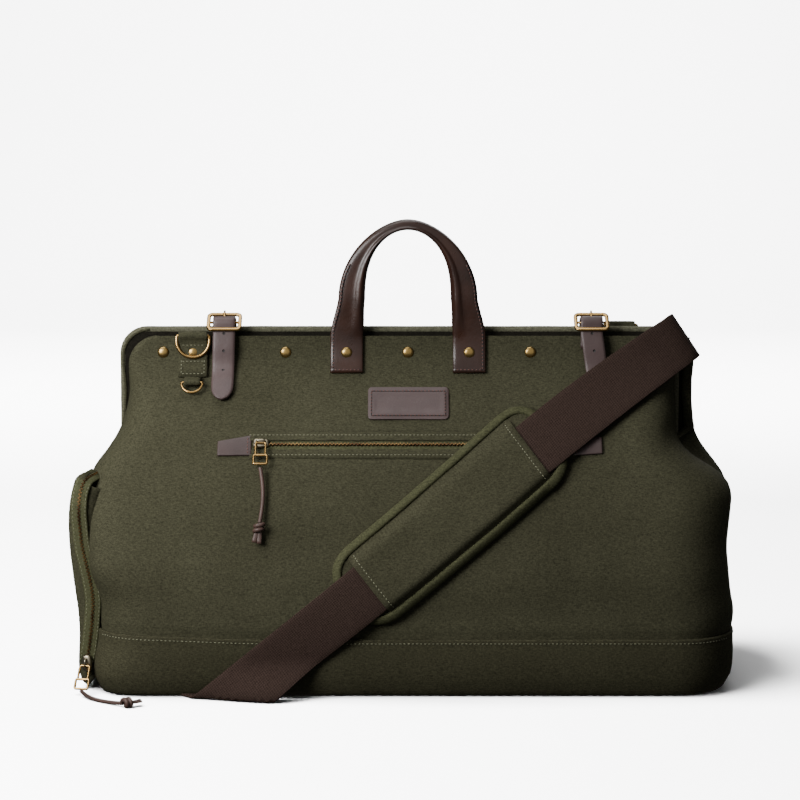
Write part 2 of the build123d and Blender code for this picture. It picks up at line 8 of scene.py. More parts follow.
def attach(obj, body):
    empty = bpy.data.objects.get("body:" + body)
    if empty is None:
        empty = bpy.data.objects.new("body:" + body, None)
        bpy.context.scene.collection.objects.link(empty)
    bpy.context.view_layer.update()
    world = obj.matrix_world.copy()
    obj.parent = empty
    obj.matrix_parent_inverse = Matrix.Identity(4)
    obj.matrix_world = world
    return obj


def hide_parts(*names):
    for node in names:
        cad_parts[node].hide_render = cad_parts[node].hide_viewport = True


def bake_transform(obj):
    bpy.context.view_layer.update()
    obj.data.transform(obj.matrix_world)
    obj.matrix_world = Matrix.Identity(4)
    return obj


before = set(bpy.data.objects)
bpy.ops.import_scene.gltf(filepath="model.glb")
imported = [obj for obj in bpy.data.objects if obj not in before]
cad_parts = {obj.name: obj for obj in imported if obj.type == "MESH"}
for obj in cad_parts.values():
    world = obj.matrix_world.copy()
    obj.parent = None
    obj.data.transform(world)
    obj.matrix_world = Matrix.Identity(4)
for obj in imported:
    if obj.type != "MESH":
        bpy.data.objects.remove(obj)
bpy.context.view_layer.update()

# Lengths below are millimetres in the part's own frame, and MM turns them into metres.
MM = 0.001

# ---------------------------------------------------------------- driving dimensions
# (height, value) tables of the bag's outer form
DEPTH = [(0, 113.5), (14, 117), (47, 119.5), (100, 114), (150, 98),
         (195, 70), (230, 41), (266, 11), (292, 8), (300, 8)]
FOOT_LENGTH = [(0, 266), (4, 268.5), (14, 271), (47, 272.5), (100, 270), (150, 272)]
LEFT_LENGTH = [(0, 259), (4, 261), (14, 262.5), (47, 262), (75, 263), (100, 268), (130, 271.5), (150, 272),
               (172, 271), (183, 266), (197, 255.5), (210, 248.5), (225, 244), (240, 241.5), (252, 241),
               (270, 240), (286, 238.8), (300, 238.5)]
RIGHT_LENGTH = [(0, 266), (4, 268.5), (14, 271), (47, 272.5), (58, 274), (67, 276.5), (80, 273), (100, 270),
                (118, 268.5), (130, 270.5), (150, 274), (163, 276), (172, 272), (180, 262.5), (186, 251),
                (193, 239), (201, 232.5), (210, 231), (300, 231)]
BACK_LENGTH = FOOT_LENGTH + [(165, 272), (175, 268), (187, 259.5), (203, 250), (212, 247), (225, 246.2),
                             (300, 246)]
CORNER_X = [(0, 45), (47, 50), (150, 50), (180, 46), (195, 42), (212, 36), (235, 30),
            (255, 17), (266, 9), (300, 5)]
END_HALF = [(0, 68), (47, 69), (100, 64), (150, 48), (180, 32), (195, 25), (205, 12), (212, 3),
            (300, 3)]
FRONT_TOP = 290.5
BACK_TOP = 296.0
TOP_ROUND = 24.0
BAND_TOP = 49.0
CLOTH = 2.0

RIVET_Z = 276.5
RIVET_PITCH = 52.4
HANDLE_X = 52.4
HANDLE_PIVOT = (10.3, 292.0)
FOOT_SEAM_Z = 262.4
RING_TAB_X = 183.8
BILLET_X = 157.2
ZIP_Z = 203.9
ZIP_X = (-131.0, 138.0)
STRAP_WIDTH = 44.0


# ---------------------------------------------------------------- small maths
def between(table, z):
    """Straight-line look-up in a table of (height, value)."""
    for (z0, a), (z1, b) in zip(table, table[1:]):
        if z <= z1:
            return a + (b - a) * (z - z0) / (z1 - z0)
    return table[-1][1]


def smooth(table, z, reach=12.0):
    """The same look-up, with its corners rounded over a stretch of height."""
    samples = [between(table, max(0.0, z + reach * k / 4)) for k in range(-4, 5)]
    return sum(samples) / len(samples)


def depth(z):
    return smooth(DEPTH, z)


def ease(t):
    t = max(0.0, min(1.0, t))
    return t * t * (3 - 2 * t)


def hump(t):
    """A bell curve: 1 at t = 0 and almost nothing beyond t = 2."""
    return 2.718 ** (-t ** 2)


def corner_inset(rise, radius):
    """How far a rounded corner has turned in, at a rise above the point where it starts."""
    if rise <= 0:
        return 0.0
    return radius - sqrt(max(0.0, radius ** 2 - min(rise, radius) ** 2))


def spread(low, high, count):
    return [low + (high - low) * k / (count - 1) for k in range(count)]


def along(points, step):
    """Evenly spaced (point, direction) pairs along a run of points."""
    out = []
    left = step / 2
    for a, b in zip(points, points[1:]):
        a, b = Vector(a), Vector(b)
        run = (b - a).length
        while left < run:
            out.append((a.lerp(b, left / run), (b - a) / run))
            left += step
        left -= run
    return out


def evenly(points, count):
    """The same pairs along a run of vectors, with the step that gives count of them."""
    total = sum((b - a).length for a, b in zip(points, points[1:]))
    return along(points, total / count)


def turned_point(centre, angle, u, v):
    """(x, z) of the point at (u, v) in axes that are turned by an angle about a centre."""
    c, s = cos(angle), sin(angle)
    return centre[0] + u * c - v * s, centre[1] + u * s + v * c


def rounded_path(corners, radius, steps=5, closed=False):
    """A run of points with each corner turned into a short arc."""
    corners = [Vector(c) for c in corners]
    out = []
    count = len(corners)
    for k, corner in enumerate(corners):
        if not closed and k in (0, count - 1):
            out.append(corner)
            continue
        before = corners[k - 1]
        after = corners[(k + 1) % count]
        reach = min(radius, 0.45 * (before - corner).length, 0.45 * (after - corner).length)
        start = corner + (before - corner).normalized() * reach
        end = corner + (after - corner).normalized() * reach
        for t in spread(0, 1, steps):
            out.append(start.lerp(corner, t).lerp(corner.lerp(end, t), t))
    return out


# ---------------------------------------------------------------- mesh makers
def add_mesh(name, points, faces, material, shade=True):
    mesh = bpy.data.meshes.new(name)
    mesh.from_pydata([tuple(Vector(p) * MM) for p in points], [], faces)
    mesh.materials.append(material)
    if shade:
        mesh.shade_smooth()
    mesh.validate()
    piece = bpy.data.objects.new(name, mesh)
    bpy.context.scene.collection.objects.link(piece)
    return piece


def ring_faces(start, count):
    """Quads between a ring of count points, numbered from start, and the ring after it."""
    pairs = [(start + k, start + (k + 1) % count) for k in range(count)]
    return [(a, b, count + b, count + a) for a, b in pairs]


def grid(name, rows, material, around=False, cap=False):
    """A sheet of quads through rows of points; around joins each row's ends."""
    width = len(rows[0])
    points = [p for row in rows for p in row]
    faces = []
    for i in range(len(rows) - 1):
        for j in range(width if around else width - 1):
            k = (j + 1) % width
            faces.append((i * width + j, i * width + k, (i + 1) * width + k, (i + 1) * width + j))
    if cap:
        faces.append(tuple(range(width))[::-1])
        faces.append(tuple(range(len(points) - width, len(points))))
    return add_mesh(name, points, faces, material)


def thicken(piece, thickness, offset=-1.0):
    wall = piece.modifiers.new("wall", "SOLIDIFY")
    wall.thickness = thickness * MM
    wall.offset = offset
    return piece


def ease_edges(piece, width, segments=2, angle=35):
    bevel = piece.modifiers.new("edges", "BEVEL")
    bevel.width = width * MM
    bevel.segments = segments
    bevel.limit_method = "ANGLE"
    bevel.angle_limit = radians(angle)
    return piece


def frames_along(points, up, closed=False):
    """(origin, side, up) at each point of a path, with the up direction carried along it."""
    points = [Vector(p) for p in points]
    count = len(points)
    out = []
    up = Vector(up).normalized()
    for k, point in enumerate(points):
        before = points[k - 1] if closed or k > 0 else points[k]
        after = points[(k + 1) % count] if closed or k < count - 1 else points[k]
        ahead = (after - before).normalized()
        up = (up - ahead * up.dot(ahead)).normalized()
        out.append((point, ahead.cross(up).normalized(), up.copy()))
    return out


def face_outward(piece, weld=False):
    """Turns a piece's faces outward; weld first joins points that lie on each other."""
    shape = bmesh.new()
    shape.from_mesh(piece.data)
    if weld:
        bmesh.ops.remove_doubles(shape, verts=shape.verts, dist=1e-6)
    bmesh.ops.recalc_face_normals(shape, faces=shape.faces)
    shape.to_mesh(piece.data)
    shape.free()
    return piece


def sweep(name, frames, sections, material, closed=False):
    """Joins a closed section at each frame; a section is a list of (side, up) offsets."""
    rows = []
    for (origin, side, up), section in zip(frames, sections):
        rows.append([origin + side * a + up * b for a, b in section])
    if closed:
        rows.append(rows[0])
    return face_outward(grid(name, rows, material, around=True, cap=not closed), weld=closed)


def sweep_along(name, points, up, section, material, closed=False):
    """Sweeps one section along a run of points."""
    frames = frames_along(points, up, closed)
    return sweep(name, frames, [section] * len(frames), material, closed)


def oval(half_side, half_up, power=2.0, count=16):
    """A closed section between an ellipse (power 2) and a box, which higher powers come near."""
    section = []
    for k in range(count):
        angle = 2 * pi * (k + 0.5) / count
        c, s = cos(angle), sin(angle)
        size = (abs(c) ** power + abs(s) ** power) ** (-1 / power)
        section.append((half_side * c * size, half_up * s * size))
    return section


def tube(name, points, radius, material, up=(0, 0, 1), closed=False, count=12):
    return sweep_along(name, points, up, oval(radius, radius, 2, count), material, closed)


def join(name, pieces):
    """Makes one piece of several, with their modifiers applied and their materials kept."""
    graph = bpy.context.evaluated_depsgraph_get()
    shape = bmesh.new()
    mesh = bpy.data.meshes.new(name)
    for piece in pieces:
        for material in piece.data.materials:
            if material.name not in mesh.materials:
                mesh.materials.append(material)
    slots = [material.name for material in mesh.materials]
    for piece in pieces:
        solid = bpy.data.meshes.new_from_object(piece.evaluated_get(graph))
        solid.transform(piece.matrix_world)
        start = len(shape.faces)
        shape.from_mesh(solid)
        shape.faces.ensure_lookup_table()
        for face in shape.faces[start:]:
            face.material_index = slots.index(solid.materials[face.material_index].name)
        bpy.data.objects.remove(piece)
    shape.to_mesh(mesh)
    shape.free()
    joined = bpy.data.objects.new(name, mesh)
    bpy.context.scene.collection.objects.link(joined)
    return joined


def place(piece, body, slot, *nodes):
    """Says which body a piece rides on and which CAD nodes it stands for; the slot, its finish, is not used.
    """
    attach(piece, body)
    if nodes:
        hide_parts(*nodes)


# ---------------------------------------------------------------- materials
class Shader:
    """A material and short ways to add nodes to it."""

    def __init__(self, name, roughness, metallic=0.0, sheen=0.0):
        self.material = bpy.data.materials.new(name)
        self.material.use_nodes = True
        self.nodes = self.material.node_tree.nodes
        self.links = self.material.node_tree.links
        self.base = self.nodes["Principled BSDF"]
        self.base.inputs["Roughness"].default_value = roughness
        self.base.inputs["Metallic"].default_value = metallic
        self.base.inputs["Sheen Weight"].default_value = sheen
        self.where = self.nodes.new("ShaderNodeTexCoord").outputs["Object"]

    def link(self, source, target):
        self.links.new(source, target)

    def math(self, operation, a, b=0.0, c=0.0):
        node = self.nodes.new("ShaderNodeMath")
        node.operation = operation
        for socket, value in zip(node.inputs, (a, b, c)):
            if isinstance(value, (int, float)):
                socket.default_value = value
            else:
                self.link(value, socket)
        return node.outputs[0]

    def noise(self, scale, detail=3.0, stretch=(1, 1, 1)):
        mapping = self.nodes.new("ShaderNodeMapping")
        mapping.inputs["Scale"].default_value = stretch
        self.link(self.where, mapping.inputs["Vector"])
        node = self.nodes.new("ShaderNodeTexNoise")
        node.inputs["Scale"].default_value = scale
        node.inputs["Detail"].default_value = detail
        self.link(mapping.outputs[0], node.inputs["Vector"])
        return node.outputs["Fac"]

    def ramp(self, factor, *stops):
        node = self.nodes.new("ShaderNodeValToRGB")
        elements = node.color_ramp.elements
        while len(elements) < len(stops):
            elements.new(0.5)
        for element, (position, colour) in zip(elements, stops):
            element.position = position
            element.color = (*colour, 1)
        self.link(factor, node.inputs[0])
        return node.outputs["Color"]

    def mix(self, factor, a, b, blend="MIX"):
        node = self.nodes.new("ShaderNodeMix")
        node.data_type = "RGBA"
        node.blend_type = blend
        for socket, value in ((node.inputs[0], factor), (node.inputs[6], a), (node.inputs[7], b)):
            if isinstance(value, (int, float)):
                socket.default_value = value
            elif isinstance(value, tuple):
                socket.default_value = (*value, 1)
            else:
                self.link(value, socket)
        return node.outputs[2]

    def colour(self, source):
        self.link(source, self.base.inputs["Base Color"])

    def roughness(self, factor, low, high):
        node = self.nodes.new("ShaderNodeMapRange")
        node.inputs["To Min"].default_value = low
        node.inputs["To Max"].default_value = high
        self.link(factor, node.inputs["Value"])
        self.link(node.outputs[0], self.base.inputs["Roughness"])

    def bump(self, height, distance, strength=1.0):
        node = self.nodes.new("ShaderNodeBump")
        node.inputs["Distance"].default_value = distance
        node.inputs["Strength"].default_value = strength
        self.link(height, node.inputs["Height"])
        self.link(node.outputs[0], self.base.inputs["Normal"])

    def wave(self, direction, pitch, wander=0.0):
        """A sine from 0 to 1, once a pitch (metres) along a direction; its phase may wander."""
        dot = self.nodes.new("ShaderNodeVectorMath")
        dot.operation = "DOT_PRODUCT"
        self.link(self.where, dot.inputs[0])
        dot.inputs[1].default_value = direction
        turned = self.math("MULTIPLY", dot.outputs["Value"], 2 * pi / pitch)
        if wander:
            turned = self.math("MULTIPLY_ADD", self.noise(220, 2), wander, turned)
        return self.math("MULTIPLY_ADD", self.math("SINE", turned), 0.5, 0.5)


def canvas(name, light, dark, pitch=0.0012, rough=0.82):
    """Waxed canvas: plain weave, slubs, soft colour drift and faint wax bloom."""
    s = Shader(name, rough)
    s.base.inputs["Specular IOR Level"].default_value = 0.04
    warp = s.wave((1, 1, 0), pitch, 14.0)
    weft = s.wave((0, 0, 1), pitch, 14.0)
    weave = s.math("MAXIMUM", s.math("MULTIPLY", warp, s.math("SUBTRACT", 1.0, weft)),
                   s.math("MULTIPLY", weft, s.math("SUBTRACT", 1.0, warp)))
    upright = s.noise(1100, 2, (1, 1, 0.45))
    level = s.noise(1100, 3, (0.36, 0.36, 1))
    slubs = s.math("MULTIPLY_ADD", level, 0.65, s.math("MULTIPLY", upright, 0.45))
    threads = s.math("MULTIPLY_ADD", weave, 0.14, slubs)
    drift = s.noise(9, 4)
    body = s.ramp(drift, (0.3, dark), (0.7, light))
    speck = s.ramp(threads, (0.40, (0.38, 0.38, 0.38)), (0.90, (1.22, 1.22, 1.22)))
    s.colour(s.mix(1.0, body, speck, "MULTIPLY"))
    s.roughness(s.noise(60, 3), rough - 0.08, rough + 0.08)
    s.bump(threads, 0.00035, 0.55)
    return s.material


def leather(name, light, dark, rough, grain=0.00018):
    """Leather with fine pores, broad colour drift and small creases."""
    s = Shader(name, rough)
    s.base.inputs["Specular IOR Level"].default_value = 0.45
    cells = s.nodes.new("ShaderNodeTexVoronoi")
    cells.inputs["Scale"].default_value = 900
    s.link(s.where, cells.inputs["Vector"])
    drift = s.noise(35, 5)
    s.colour(s.ramp(drift, (0.3, dark), (0.72, light)))
    s.roughness(s.noise(120, 4), rough - 0.09, rough + 0.1)
    creases = s.noise(260, 6)
    s.bump(s.math("MULTIPLY_ADD", cells.outputs["Distance"], 0.5, creases), grain, 0.7)
    return s.material


def metal(name, light, dark, rough):
    """Plated metal with slight tarnish and hairline wear."""
    s = Shader(name, rough, metallic=1.0)
    tarnish = s.noise(60, 2)
    s.colour(s.ramp(tarnish, (0.35, dark), (0.62, light)))
    s.roughness(s.noise(300, 2), rough - 0.05, rough + 0.06)
    s.bump(s.noise(400, 2), 0.00001, 0.3)
    return s.material


def webbing(name, light, dark, direction):
    """Cotton webbing with ribs across it and a herringbone of fine threads."""
    s = Shader(name, 0.8)
    s.base.inputs["Specular IOR Level"].default_value = 0.04
    across = (-direction[2], 0, direction[0])
    rib = s.wave(direction, 0.0019, 2.0)
    fine = s.wave(across, 0.0016, 4.0)
    threads = s.math("MULTIPLY_ADD", rib, 0.22, s.math("MULTIPLY", fine, 0.2))
    fuzz = s.noise(1000, 3)
    height = s.math("MULTIPLY_ADD", fuzz, 0.8, threads)
    s.colour(s.ramp(height, (0.30, dark), (0.85, light)))
    s.bump(height, 0.0005, 0.6)
    return s.material


def thread(name, colour):
    s = Shader(name, 0.6, sheen=0.1)
    s.colour(s.ramp(s.noise(1500, 2), (0.35, tuple(0.75 * c for c in colour)), (0.7, colour)))
    return s.material


CANVAS = canvas("canvas_waxed", (0.076, 0.074, 0.044), (0.060, 0.058, 0.034))
BAND_CANVAS = canvas("canvas_band", (0.068, 0.065, 0.038), (0.053, 0.050, 0.029))
# a lighter copy of the waxed canvas: painted light on the rolls' tops, which face the lamps above
ROLL_CANVAS_LIT = canvas("canvas_roll_painted_light", (0.165, 0.160, 0.108), (0.122, 0.120, 0.078))
BINDING = canvas("canvas_binding", (0.094, 0.096, 0.050), (0.074, 0.076, 0.039), pitch=0.0009)
LINING = canvas("lining_cloth", (0.052, 0.045, 0.030), (0.040, 0.034, 0.023), pitch=0.0008)
# near-black lining cloth: painted shade for the gap between each top roll and the canvas
LINING_PAINTED_SHADE = canvas("lining_painted_shade", (0.016, 0.014, 0.010), (0.011, 0.010, 0.007), pitch=0.0008)
TAPE = canvas("zip_tape_cloth", (0.105, 0.108, 0.056), (0.080, 0.083, 0.042), pitch=0.0008)
HANDLE_LEATHER = leather("leather_dark", (0.042, 0.016, 0.009), (0.018, 0.007, 0.004), 0.31)
SMOOTH_LEATHER = leather("leather_mauve", (0.086, 0.055, 0.052), (0.056, 0.034, 0.032), 0.46)
TAB_LEATHER = leather("leather_tab", (0.058, 0.034, 0.031), (0.036, 0.020, 0.018), 0.48)
LACE_LEATHER = leather("leather_lace", (0.095, 0.052, 0.040), (0.050, 0.027, 0.021), 0.5)
STRAP_WEB = webbing("webbing_brown", (0.056, 0.036, 0.029), (0.017, 0.0105, 0.008), (0.78, 0, 0.62))
BRASS = metal("brass_polished", (0.44, 0.28, 0.105), (0.33, 0.20, 0.070), 0.24)
RIVET_BRASS = metal("brass_antique", (0.38, 0.255, 0.090), (0.29, 0.19, 0.065), 0.30)
TOOTH_BRASS = metal("brass_teeth", (0.22, 0.135, 0.055), (0.09, 0.042, 0.021), 0.36)
NICKEL = metal("plated_zinc", (0.32, 0.28, 0.20), (0.22, 0.18, 0.12), 0.30)
STEEL = metal("frame_steel", (0.45, 0.44, 0.42), (0.30, 0.29, 0.28), 0.35)
BOARD = leather("base_board", (0.05, 0.045, 0.04), (0.03, 0.028, 0.025), 0.7)
STITCH_GREEN = thread("thread_green", (0.20, 0.20, 0.12))
STITCH_BROWN = thread("thread_brown", (0.115, 0.040, 0.028))
# near-black: painted shade for strap holes and stitch grooves
PAINTED_SHADE_BLACK = thread("painted_shade_black", (0.012, 0.008, 0.007))


# ---------------------------------------------------------------- the canvas shell
# soft pulls in the front's cloth: start (x, z), end (x, z), half width, height
PULLS = [((-228, 262), (-196, 226), 5.0, 1.3), ((-231, 250), (-214, 214), 4.0, 1.1),
         ((-222, 232), (-180, 206), 7.0, 0.9), ((226, 236), (206, 196), 6.0, 1.0),
         ((-246, 196), (-196, 172), 9.0, 1.1), ((240, 196), (188, 168), 9.0, 1.1),
         ((-60, 118), (-130, 70), 16.0, 0.9), ((120, 120), (196, 92), 16.0, 0.9)]


def pull_height(x, z):
    total = 0.0
    for (x0, z0), (x1, z1), width, height in PULLS:
        run = hypot(x1 - x0, z1 - z0)
        t = ((x - x0) * (x1 - x0) + (z - z0) * (z1 - z0)) / run ** 2
        off = ((x - x0) * (z1 - z0) - (z - z0) * (x1 - x0)) / run
        if -0.3 < t < 1.3:
            fade = ease((t + 0.3) / 0.4) * ease((1.3 - t) / 0.4)
            total += height * fade * (hump(off / width) - 0.5 * hump(off / width / 2))
    return total


def sag(x, y, z):
    """How far the cloth stands out from the plain form, from its own slackness."""
    broad = noise.noise(Vector((x * 0.011, y * 0.011, z * 0.013))) * 2.4
    small = noise.noise(Vector((x * 0.035 + 7, y * 0.035, z * 0.028))) * 0.7
    slack_top = 1 - ease((z - 240) / 30)
    slack_foot = ease((z - 46) / 30)
    pull = pull_height(x, z) if y < 0 else 0.0
    groove = 1.6 * hump((z - band_top(x)) / 3.5)
    loose = (broad + small) * slack_top * slack_foot - 0.8 * slack_foot * slack_top
    return loose + pull * slack_foot - groove


def band_top(x):
    """Height of the seam above the base band, which climbs a little towards the left end."""
    return BAND_TOP + 3.5 * ease((-x - 110) / 130)


# columns of the ring round the bag: on the front or back, on an end, and in a corner
SIDE_COLUMNS = 91
END_COLUMNS = 17
CORNER_COLUMNS = 9
# above this height the ends stop short of the front: their front edge lies at the bag's middle
END_TOP = 203.0
# the back is made in two pieces split at this height, where the bag's upper back folds as the mouth opens
FOLD_Z = 168.0


def top_inset(z, top):
    """How far the rounded top corners of a panel pull its edge in at a height."""
    return corner_inset(z - (top - TOP_ROUND), TOP_ROUND)


def quarter(z, x_sign, y_sign, length, from_side):
    """One corner of the ring at a height, as (x, y, nx, ny), from the long side or the end.

    The left front corner is squarer where the end pocket is sewn to it, and at its foot."""
    reach_x = smooth(CORNER_X, z)
    end_half = end_edge(z)
    reach_y = max(depth(z) - end_half, 1.0)
    power = 1.0
    if x_sign < 0 and y_sign < 0:
        power -= 0.38 * ease((z - 75) / 35) * ease((212 - z) / 20) + 0.3 * ease((45 - z) / 30)
    out = []
    for k in range(CORNER_COLUMNS):
        angle = pi / 2 * k / (CORNER_COLUMNS - 1)
        x = length - reach_x + reach_x * sin(angle) ** power
        y = end_half + reach_y * max(0.0, cos(angle)) ** power
        normal = Vector((sin(angle) * reach_y, cos(angle) * reach_x)).normalized()
        out.append((x_sign * x, y_sign * y, x_sign * normal.x, y_sign * normal.y))
    return out if from_side else out[::-1]


def end_edge(z):
    return smooth(END_HALF, z, 6)


def end_fold(z):
    """0 where the ends reach the front, and 1 where they stop at the bag's middle."""
    return ease((z - END_TOP) / 6)


def front_length(z, sign):
    table = LEFT_LENGTH if sign < 0 else RIGHT_LENGTH
    return smooth(table, z, 7) - top_inset(z, FRONT_TOP)


def front_row(z, inset=0.0, wrinkles=True):
    """The front of the ring at a height, from the left end round to the right end."""
    left, right = front_length(z, -1), front_length(z, 1)
    reach = smooth(CORNER_X, z)
    row = quarter(z, -1, -1, left, False)
    for x in spread(-(left - reach), right - reach, SIDE_COLUMNS)[1:-1]:
        row.append((x, -depth(z), 0.0, -1.0))
    row += quarter(z, 1, -1, right, True)
    return settle(row, z, inset, wrinkles)


def end_run(z, sign):
    """The end of the ring at a height, from its front edge to its back edge."""
    low = front_length(z, sign)
    high = smooth(BACK_LENGTH, z, 7) - top_inset(z, BACK_TOP)
    half = end_edge(z)
    front_edge = -half + (half + 1.0) * end_fold(z)
    low += (high - low) * end_fold(z)
    row = []
    for t in spread(0, 1, END_COLUMNS)[1:-1]:
        bulge = 3.0 * sin(pi * t) * ease((z - 20) / 60) * ease((205 - z) / 30)
        if sign > 0:
            bulge -= 7.0 * sin(pi * min(1.0, 2.2 * t)) * ease((z - 150) / 30)
        x = low + (high - low) * ease(1.4 * t) + bulge
        row.append((sign * x, front_edge + (half - front_edge) * t, sign * 1.0, 0.0))
    return row


def back_row(z, inset=0.0, wrinkles=True):
    """The rest of the ring: right end, back and left end, to where the front starts."""
    length = smooth(BACK_LENGTH, z, 7) - top_inset(z, BACK_TOP)
    reach = smooth(CORNER_X, z)
    half = end_edge(z)
    fold = end_fold(z)
    front_edge = -half + (half + 1.0) * fold
    left, right = (front_length(z, sign) * (1 - fold) + length * fold for sign in (-1, 1))
    row = [(right, front_edge, 1.0, 0.0)] + end_run(z, 1)
    row += quarter(z, 1, 1, length, False)
    for x in spread(length - reach, -(length - reach), SIDE_COLUMNS)[1:-1]:
        row.append((x, depth(z), 0.0, 1.0))
    row += quarter(z, -1, 1, length, True)
    row += end_run(z, -1)[::-1] + [(-left, front_edge, -1.0, 0.0)]
    return settle(row, z, inset, wrinkles)


def settle(row, z, inset, wrinkles):
    """Moves a row's points in by the inset and out by the cloth's slackness."""
    out = []
    for x, y, nx, ny in row:
        push = -inset + (sag(x, y, z) if wrinkles else 0.0)
        out.append((x + nx * push, y + ny * push, z))
    return out


def heights(low, high, top=None):
    """Row heights, every 4 mm or so, and closer together round a panel's top corners."""
    if top is None:
        return spread(low, high, int((high - low) / 4) + 2)
    start = top - TOP_ROUND
    return spread(low, start, int((start - low) / 4) + 2) + [
        start + TOP_ROUND * sin(radians(a)) for a in (12, 24, 36, 48, 60, 72, 82, 90)]


def shell():
    """Front, ends and back of the canvas body."""
    front = grid("canvas_front", [front_row(z) for z in heights(42, 0, FRONT_TOP)], CANVAS)
    thicken(front, CLOTH)
    place(front, "root", "canvas", "front_panel")

    lower = grid("canvas_lower_back", [back_row(z) for z in heights(42, FOLD_Z)], CANVAS)
    thicken(lower, CLOTH)
    place(lower, "root", "canvas", "back_panel_lower", "left_end_panel", "right_end_panel")

    upper = grid("canvas_back", [back_row(z) for z in heights(FOLD_Z, 0, BACK_TOP)], CANVAS)
    thicken(upper, CLOTH)
    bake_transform(upper)
    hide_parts("back_panel_fold", "back_panel_upper", "gussets")


def ring_row(z, inset):
    """The whole ring at a height, without wrinkles."""
    return front_row(z, inset, False)[:-1] + back_row(z, inset, False)[:-1]


def base_band():
    """The band round the foot with its turned top edge, and the bottom under it."""
    rows = []
    for z, inset in ((2.9, 26), (1.6, 11), (0.7, 5.5), (0.9, 2.4), (2.6, 0.4), (6, -0.5)):
        rows.append(ring_row(z, inset))
    for z in spread(12, BAND_TOP - 3, 9):
        rows.append(ring_row(z, -1.2 - 1.5 * sin(pi * z / BAND_TOP)))
    for rise, inset in ((-1.0, -1.8), (-0.1, -1.5), (0.3, -0.6), (0.2, 0.8), (-2.0, 1.8)):
        edge = ring_row(BAND_TOP + rise, inset)
        rows.append([(x, y, z + band_top(x) - BAND_TOP) for x, y, z in edge])
    band = grid("base_band", rows, BAND_CANVAS, around=True)
    shape = bmesh.new()
    shape.from_mesh(band.data)
    shape.verts.ensure_lookup_table()
    shape.faces.new(shape.verts[:len(rows[0])][::-1])
    shape.to_mesh(band.data)
    shape.free()
    place(band, "root", "canvas", "base_band", "base_panel")


def lining():
    """The lining's walls, up to where the back folds, and its floor."""
    rows = [ring_row(z, 7.5) for z in spread(8, FOLD_Z, 24)]
    inner = grid("lining", rows, LINING, around=True)
    thicken(inner, 0.8)
    floor = grid("lining_floor", [[(x * t, y * t, 7.6 if t < 1 else 8.0) for x, y, z in rows[0]]
                                  for t in (0.02, 0.4, 0.8, 1.0)], LINING, around=True)
    place(join("lining_bag", [inner, floor]), "root", "lining", "lining")


def roll_path(half, top, y, foot):
    """Down one leg of a mouth frame, over the top and down the other, as points."""
    radius = TOP_ROUND - 3.5
    left = [(-half, y, z) for z in spread(foot, top - radius, 14)]
    arc = [(-half + radius - radius * cos(a), y, top - radius + radius * sin(a))
           for a in spread(0, pi / 2, 9)[1:]]
    flat = [(x, y, top) for x in spread(-half + radius, half - radius, 60)[1:-1]]
    right = [(-x, y, z) for x, y, z in (left + arc)[::-1]]
    return left + arc + flat + right


def top_rolls():
    """The rolled canvas edges along the two steel frames, in a lighter copy of the canvas that paints the
    light on their tops, each with a strip of lining in near-black that paints the shade of the gap behind it.
    """
    for name, body, half, top, y, shift, node in (
            ("front_top_roll", "root", 230.0, 285.5, -4.1, 0.0, "front_facing"),
            ("back_top_roll", "back_frame", 243.6, 294.8, 5.0, -1.4, "back_facing")):
        path = [(x + shift, y, z) for x, y, z in roll_path(half, top, y, 203.0)]
        frames = frames_along(path, (0, 1, 0))
        sections = []
        for origin, side, up in frames:
            swell = 1 + 0.05 * noise.noise(origin * 0.05)
            sections.append(oval(3.1 * swell, 3.7, 2.4, 14))
        # the roll is swept in the lighter canvas copy: painted light
        roll = sweep(name, frames, sections, ROLL_CANVAS_LIT)
        place(roll, body, "canvas", node)
        strip = [[(x + shift, y * 0.45, z) for x, _, z in roll_path(half - inset, top - inset, 0, 196.0)]
                 for inset in (0, 7, 14, 22)]
        # the lining strip behind the roll is near-black: painted shade in the gap
        lined = thicken(grid(name + "_lining", strip, LINING_PAINTED_SHADE), 1.2, 0.0)
        place(lined, body, "lining")


# ---------------------------------------------------------------- patches on the front and back
def span_of(v, width, height, radius):
    """Half width of a rounded rectangle at distance v from its middle."""
    return width / 2 - corner_inset(abs(v) - (height / 2 - radius), radius)


def patch_rows(centre, width, height, radius, angle, out, rows, columns):
    """Rows of points of a rounded rectangle on the front; out(u, v, edge) is how far it stands off."""
    made = []
    for w in spread(-1, 1, rows):
        v = height / 2 * sin(w * pi / 2)
        half = span_of(v, width, height, radius)
        row = []
        for u in spread(-half, half, columns):
            x, z = turned_point(centre, angle, u, v)
            edge = min(half - abs(u), height / 2 - abs(v))
            row.append((x, -(depth(z) + out(u, v, edge)), z))
        made.append(row)
    return made


def patch(name, material, centre, width, height, radius, out, thickness, angle=0.0,
          rows=15, columns=21):
    """A piece of leather or canvas with rounded corners, laid on the front of the bag."""
    piece = grid(name, patch_rows(centre, width, height, radius, angle, out, rows, columns), material)
    thicken(piece, thickness)
    ease_edges(piece, min(0.45 * thickness, 1.0))
    return piece


